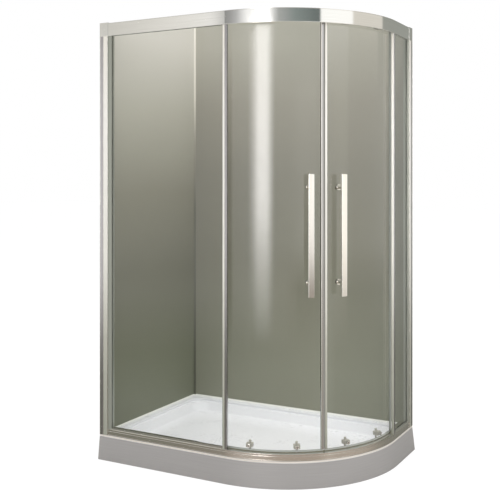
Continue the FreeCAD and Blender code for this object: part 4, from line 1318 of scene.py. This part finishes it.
@dataclass
class StraightSide(Assembly):
    """Trim of one straight side: its wall channel, fixed pane and mullion.

    Lengths along the side are measured from its mullion's middle towards the wall.

    Attributes:
        side: Which straight side.
        cover: Lengths between which the mullion's bright cover strip lies.
        pane: Inset of the pane's outer face from the front line.
        mullion: Inset of the mullion's face.
        half_mullion: Half the mullion's width.
        bead_head: Height of the glazing bead's head above the sill.
        gasket: Width of the rubber between glass and metal.
        gasket_proud: How far it stands out from the pane.
        cover_proud: How far the cover strip stands out.
        cover_edge: Rounding of its edges.
        lip: Width of each bright lip of the wall channel.
        lip_proud: How far it stands out.
        lip_edge: Rounding of its edges.
        lip_gap: Distance from the wall to the lip beside it.
        groove: Width of the grooves in the wall channel's face.
        insert: Distance from the channel's free edge to the far side of its pale insert.
        insert_proud: How far the insert stands out.
        band_proud: How far the grey band stands out.
        fine_edge: Rounding of the edges of gaskets, insert and band.
    """

    side: Side
    cover: tuple[float, float]
    pane: float = 0.005
    mullion: float = 0.002
    half_mullion: float = 0.010
    bead_head: float = 0.0105
    gasket: float = 0.0022
    gasket_proud: float = 0.0018
    cover_proud: float = 0.0012
    cover_edge: float = 0.0005
    lip: float = 0.0022
    lip_proud: float = 0.0009
    lip_edge: float = 0.0004
    lip_gap: float = 0.0004
    groove: float = 0.0012
    insert: float = 0.0240
    insert_proud: float = 0.0007
    band_proud: float = 0.0006
    fine_edge: float = 0.0003

    @property
    def middle(self) -> Station:
        """Find the point of the front line in front of the mullion's middle.

        Returns:
            The point, facing outwards.
        """
        if self.side is Side.LEFT:
            return Station(ARC_CENTRE[0], FRONT_LINE, 0.0, -1.0)
        return Station(RIGHT_LINE, ARC_CENTRE[1], 1.0, 0.0)

    @property
    def wall(self) -> float:
        """Length from the mullion's middle to the wall."""
        return ARC_CENTRE[0] - LEFT_WALL if self.side is Side.LEFT else REAR_WALL - ARC_CENTRE[1]

    def bar(self, near: float, far: float, inset: float, proud: float,
            edge: float) -> tuple[Station, Section]:
        """Work out an upright bar's place and section.

        Args:
            near: Length from the mullion's middle at which it begins.
            far: Length at which it ends.
            inset: Inset of the face that it lies on.
            proud: How far it stands out from that face.
            edge: Rounding of its edges.

        Returns:
            The place and section for upright().
        """
        low, high = sorted((near * self.side.sign, far * self.side.sign))
        return self.middle, rounded(low, high, -inset, proud - inset, edge)

    def gaskets(self) -> None:
        """Make the rubber beside the mullion and under the head rail."""
        build = bmesh.new()
        beside = self.bar(self.half_mullion, self.half_mullion + self.gasket, self.pane,
                          self.gasket_proud, self.fine_edge)
        add_upright(build, *beside, SILL_TOP + self.bead_head, HEAD_FOOT)
        middle = self.middle
        path = [
            Station(middle.x - middle.out_y * length * self.side.sign,
                    middle.y + middle.out_x * length * self.side.sign, middle.out_x, middle.out_y)
            for length in (self.half_mullion, self.wall - PROFILE_WIDTH - JAMB_SHOW)
        ]
        add_sweep(build, path, rounded(-self.pane, self.gasket_proud - self.pane,
                                       HEAD_FOOT - self.gasket, HEAD_FOOT, self.fine_edge))
        piece = finish_mesh(f"gaskets_{self.side.value}", build)
        self.hand_over(piece, GASKET, "seal_rubber")

    def strip(self, name: str, finish: Surface, foot: float, *bars: tuple[Station, Section]) -> None:
        """Make an upright piece of metal trim that ends under the head rail.

        Args:
            name: The piece's name without its side.
            finish: Its finish.
            foot: Height of what it stands on.
            *bars: Place and section of each of its bars.
        """
        piece = upright(f"{name}_{self.side.value}", foot + SPARE, HEAD_FOOT - SPARE, *bars)
        self.hand_over(piece, finish, "bright_aluminium")

    def metal(self) -> None:
        """Make the mullion's cover and the wall channel's lips, pale insert and grey band; the insert, and
        on the left the cover, carry painted reflection by height, dark at the foot and pale at the head.
        """
        wall, edge = self.wall, self.wall - PROFILE_WIDTH
        inner = self.lip + self.groove
        self.strip("mullion_cover", EDGE_PAINTED_REFLECTION if self.side is Side.LEFT else LILAC, SILL_TOP,
                   self.bar(*self.cover, self.mullion, self.cover_proud, self.cover_edge))
        self.strip("channel_edge", ALUMINIUM, RIM,
                   self.bar(edge, edge + self.lip, 0.0, self.lip_proud, self.lip_edge),
                   self.bar(wall - self.lip, wall - self.lip_gap, 0.0, self.lip_proud, self.lip_edge))
        self.strip("channel_insert", EDGE_PAINTED_REFLECTION, RIM,
                   self.bar(edge + inner, edge + self.insert, 0.0, self.insert_proud, self.fine_edge))
        self.strip("channel_band", LILAC, RIM,
                   self.bar(edge + self.insert + self.groove, wall - inner, 0.0, self.band_proud,
                            self.fine_edge))

    def build(self) -> None:
        """Make the side's trim."""
        self.gaskets()
        self.metal()


@dataclass
class DoorTrim(Assembly):
    """Trim of one sliding door: meeting profile, handle, roller bolts and release buttons.

    Distances outwards are measured from the pane's middle, and lengths from the meeting line.

    Attributes:
        side: Which door.
        cover: Lengths between which the meeting profile's bright strip lies.
        meeting_face: Distance to the meeting profile's face.
        cover_proud: How far the bright strip stands out.
        cover_edge: Rounding of its edges.
        cover_gap: Distance from the pane's foot and head to its ends.
        handle: Length to the pull bar's middle.
        handle_levels: Heights of the pull bar's foot and head.
        post_levels: Heights of its posts.
        bar_face: Distance to the bar's inner face.
        bar_size: The bar's width and thickness.
        rosette_gap: Distance from the pane's face to the rosettes' feet.
        end_inset: How much narrower an end cap is than the bar, on each side.
        end_edge: Rounding of an end cap's corners.
        end_proud: How far an end cap stands out from the bar's end.
        rollers: Lengths to the rollers.
        bolt_levels: Heights of the lower and upper roller bolts.
        bolt_face: Distance to a bolt cap's face.
        inner_cap: Distance to the face of an inner handle cap.
        stem_reach: Distance from the curve's centre to the release stems.
        collar: Outline of the collar where a post meets the bar.
        rosette: Outline of the rosette at a post's foot.
        rim: Outline of a bolt cap's domed rim.
        socket: Outline of a hexagon socket's dark disc, painted shade that stands for its hollow.
        socket_sides: Sides of a socket.
        band: Outline of the band round an inner handle cap.
        dome: Outline of a release button's ringed top.
    """

    side: Side
    cover: tuple[float, float]
    meeting_face: float = 0.005
    cover_proud: float = 0.0009
    cover_edge: float = 0.0004
    cover_gap: float = 0.001
    handle: float = 0.066
    handle_levels: tuple[float, float] = (0.780, 1.280)
    post_levels: tuple[float, float] = (0.8335, 1.2265)
    bar_face: float = 0.0425
    bar_size: tuple[float, float] = (0.025, 0.012)
    rosette_gap: float = 0.0030
    end_inset: float = 0.0012
    end_edge: float = 0.0015
    end_proud: float = 0.0006
    rollers: tuple[float, float] = (0.113, 0.315)
    bolt_levels: tuple[float, float] = (0.159, 1.917)
    bolt_face: float = 0.005
    inner_cap: float = -0.0058
    stem_reach: float = 0.5025
    collar: Outline = ((0.0071, -0.0030), (0.0086, -0.0030), (0.0092, -0.0022), (0.0092, -0.0006),
                       (0.0088, -0.0001), (0.0071, -0.0001))
    rosette: Outline = ((0.0071, 0.0), (0.0078, 0.0012), (0.0102, 0.0014), (0.0112, 0.0008),
                        (0.0116, 0.0))
    rim: Outline = ((0.0056, -0.0002), (0.0056, 0.0005), (0.0064, 0.0009), (0.0074, 0.0007),
                    (0.0079, -0.0002))
    socket: Outline = ((0, 0.0003), (0.0026, 0.0003), (0.0026, -0.0002))
    socket_sides: int = 6
    band: Outline = ((0.0085, -0.0002), (0.0085, 0.0005), (0.0095, 0.0008), (0.0110, 0.0006),
                     (0.0118, -0.0002))
    dome: Outline = ((0.0053, -0.0002), (0.0053, 0.0002), (0.0046, 0.0005), (0.0044, 0.0003),
                     (0.0036, 0.0003), (0.0034, 0.0006), (0.0018, 0.0009), (0, 0.0010))

    @property
    def body(self) -> str:
        """The door that the pieces ride on."""
        return f"door_{self.side.value}"

    def meeting_cover(self) -> None:
        """Make the bright strip along the meeting profile, with painted reflection by height: dark at the
        foot and pale at the head.
        """
        near, far = self.cover
        half = (far - near) / 2
        section = rounded(-half, half, self.meeting_face - LET_IN, self.meeting_face + self.cover_proud,
                          self.cover_edge)
        strip = upright(f"meeting_cover_{self.side.value}", DOOR_FOOT + self.cover_gap,
                        GLASS_TOP - self.cover_gap, (door_station(self.side, (near + far) / 2), section))
        self.hand_over(strip, EDGE_PAINTED_REFLECTION, "bright_aluminium")

    def handle_trim(self) -> None:
        """Make the collars and rosettes of the posts, and the bar's end caps."""
        build = bmesh.new()
        for outline, out in ((self.collar, self.bar_face), (self.rosette, HALF_PANE + self.rosette_gap)):
            for z in self.post_levels:
                add_lathe(build, outline, on_door(self.side, self.handle, out, z))
        piece = finish_mesh(f"handle_collars_{self.side.value}", build)
        self.hand_over(piece, HANDLE, "warm_chrome")

        width, thick = self.bar_size
        half = width / 2 - self.end_inset
        section = rounded(-half, half, self.bar_face + self.end_inset,
                          self.bar_face + thick - self.end_inset, self.end_edge)
        spot = door_station(self.side, self.handle)
        foot, head = self.handle_levels
        build = bmesh.new()
        add_upright(build, spot, section, foot - self.end_proud, foot + LET_IN)
        add_upright(build, spot, section, head - LET_IN, head + self.end_proud)
        piece = finish_mesh(f"handle_ends_{self.side.value}", build)
        self.hand_over(piece, HANDLE, "warm_chrome")

    def caps(self) -> None:
        """Make the rims and the dark hexagon discs of the roller bolts and of the inner handle caps; the
        discs are painted shade that stands for the sockets' hollows.
        """
        bolts = [on_door(self.side, length, self.bolt_face, z)
                 for length in self.rollers for z in self.bolt_levels]
        inner = [on_door(self.side, self.handle, self.inner_cap, z) @ Matrix.Rotation(math.pi, 4, "X")
                 for z in self.post_levels]
        rims = lathe(f"bolt_rims_{self.side.value}", self.rim, bolts)
        self.hand_over(rims, ALUMINIUM, "bright_aluminium")
        sockets = lathe(f"bolt_socket_shades_{self.side.value}", self.socket, (*bolts, *inner),
                        self.socket_sides)
        self.hand_over(sockets, SOCKET_SHADE, "foot_black")
        bands = lathe(f"cap_bands_{self.side.value}", self.band, inner)
        self.hand_over(bands, HANDLE, "warm_chrome")

    def buttons(self) -> None:
        """Make the domed, ringed tops of the release buttons."""
        for end, length in zip(("front", "rear"), self.rollers):
            node = f"release_{self.side.value}_{end}"
            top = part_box(node)[1][2]
            turn = door_turn(self.side, length)
            place = Matrix.Translation((ARC_CENTRE[0] + self.stem_reach * math.cos(turn),
                                        ARC_CENTRE[1] + self.stem_reach * math.sin(turn), top))
            piece = lathe(f"button_top_{self.side.value}_{end}", self.dome, [place])
            self.hand_over(piece, ROLLER, "roller_grey", body=node)

    def build(self) -> None:
        """Make the door's trim."""
        self.meeting_cover()
        self.handle_trim()
        self.caps()
        self.buttons()


@dataclass
class Drain(Assembly):
    """Waste cover's rings, black marks painted as the shade in its slots, and the ribs of the trap under
    the tray.

    Attributes:
        centre: Plan of the waste's axis.
        cover_top: Height of the cover's top.
        rings: Inner and outer radius of each raised ring.
        ring_slope: How much a ring narrows to its top, on each side.
        ring_proud: How far a ring stands up.
        ring_sides: Sides in a ring's full turn.
        boss: Outline of the centre boss.
        slots: Number of slots round the cover.
        slot_reach: Distances from the axis between which a slot lies.
        slot_half: Half a slot's width.
        slot_edge: Rounding of its ends.
        rib_levels: Heights of the trap's ribs.
        rib: Outline of a rib.
        rib_sides: Sides in a rib's full turn.
    """

    centre: tuple[float, float] = (0.3056, -0.1056)
    cover_top: float = 0.0608
    rings: Pairs = ((0.0345, 0.0385), (0.0195, 0.0215))
    ring_slope: float = 0.0006
    ring_proud: float = 0.0008
    ring_sides: int = 72
    boss: Outline = ((0, 0.0012), (0.0040, 0.0010), (0.0062, 0.0004), (0.0066, -0.0002))
    slots: int = 24
    slot_reach: tuple[float, float] = (0.0235, 0.0325)
    slot_half: float = 0.0011
    slot_edge: float = 0.0008
    rib_levels: tuple[float, ...] = (0.012, 0.026, 0.040)
    rib: Outline = ((0.0519, -0.0012), (0.0527, -0.0008), (0.0527, 0.0008), (0.0519, 0.0012))
    rib_sides: int = 64

    def cover_rings(self) -> None:
        """Make the cover's raised rings and its centre boss."""
        place = Matrix.Translation((*self.centre, self.cover_top))
        build = bmesh.new()
        for low, high in self.rings:
            outline = ((low, -LET_IN), (low + self.ring_slope, self.ring_proud),
                       (high - self.ring_slope, self.ring_proud), (high, -LET_IN))
            add_lathe(build, outline, place, self.ring_sides)
        add_lathe(build, self.boss, place)
        piece = finish_mesh("cover_rings", build)
        self.hand_over(piece, CHROME, "chrome_trim", body="waste_cover")

    def cover_slot_shades(self) -> None:
        """Make thin black marks between the cover's rings, painted shade that stands for the slots'
        openings.
        """
        section = rounded(-self.slot_half, self.slot_half, *self.slot_reach, self.slot_edge)
        build = bmesh.new()
        for step in range(self.slots):
            turn = 2 * math.pi * step / self.slots
            spot = Station(*self.centre, math.cos(turn), math.sin(turn))
            add_upright(build, spot, section, self.cover_top - LET_IN, self.cover_top + LET_IN)
        piece = finish_mesh("cover_slot_shades", build)
        self.hand_over(piece, BLACK_PLASTIC_AND_SLOT_SHADE, "foot_black", body="waste_cover")

    def trap_ribs(self) -> None:
        """Make the ribs round the trap's can."""
        places = [Matrix.Translation((*self.centre, z)) for z in self.rib_levels]
        self.hand_over(lathe("trap_ribs", self.rib, places, self.rib_sides), PIPE, "trap_plastic")

    def build(self) -> None:
        """Make the cover's and the trap's details."""
        self.cover_rings()
        self.cover_slot_shades()
        self.trap_ribs()


# Where the bright strips lie on the mullions and on the meeting profiles.
MULLION_COVER = {Side.LEFT: (0.0010, 0.0097), Side.RIGHT: (-0.0070, 0.0070)}
MEETING_COVER = {Side.LEFT: (0.0098, 0.0130), Side.RIGHT: (0.0036, 0.0126)}


def main() -> None:
    """Build the enclosure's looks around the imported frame."""
    logging.basicConfig(level=logging.INFO, format="%(name)s: %(message)s")
    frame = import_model()
    Studio().build()
    paint = Paintbox()
    paint.dress_nodes(frame)
    assemblies = [HeadRailTrim(paint), SillTrim(paint), RimTrim(paint), PanelTrim(paint)]
    for side in Side:
        assemblies.append(StraightSide(paint, side, MULLION_COVER[side]))
        assemblies.append(DoorTrim(paint, side, MEETING_COVER[side]))
    assemblies.append(Drain(paint))
    for assembly in assemblies:
        assembly.build()
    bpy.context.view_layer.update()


if __name__ == "__main__":
    main()
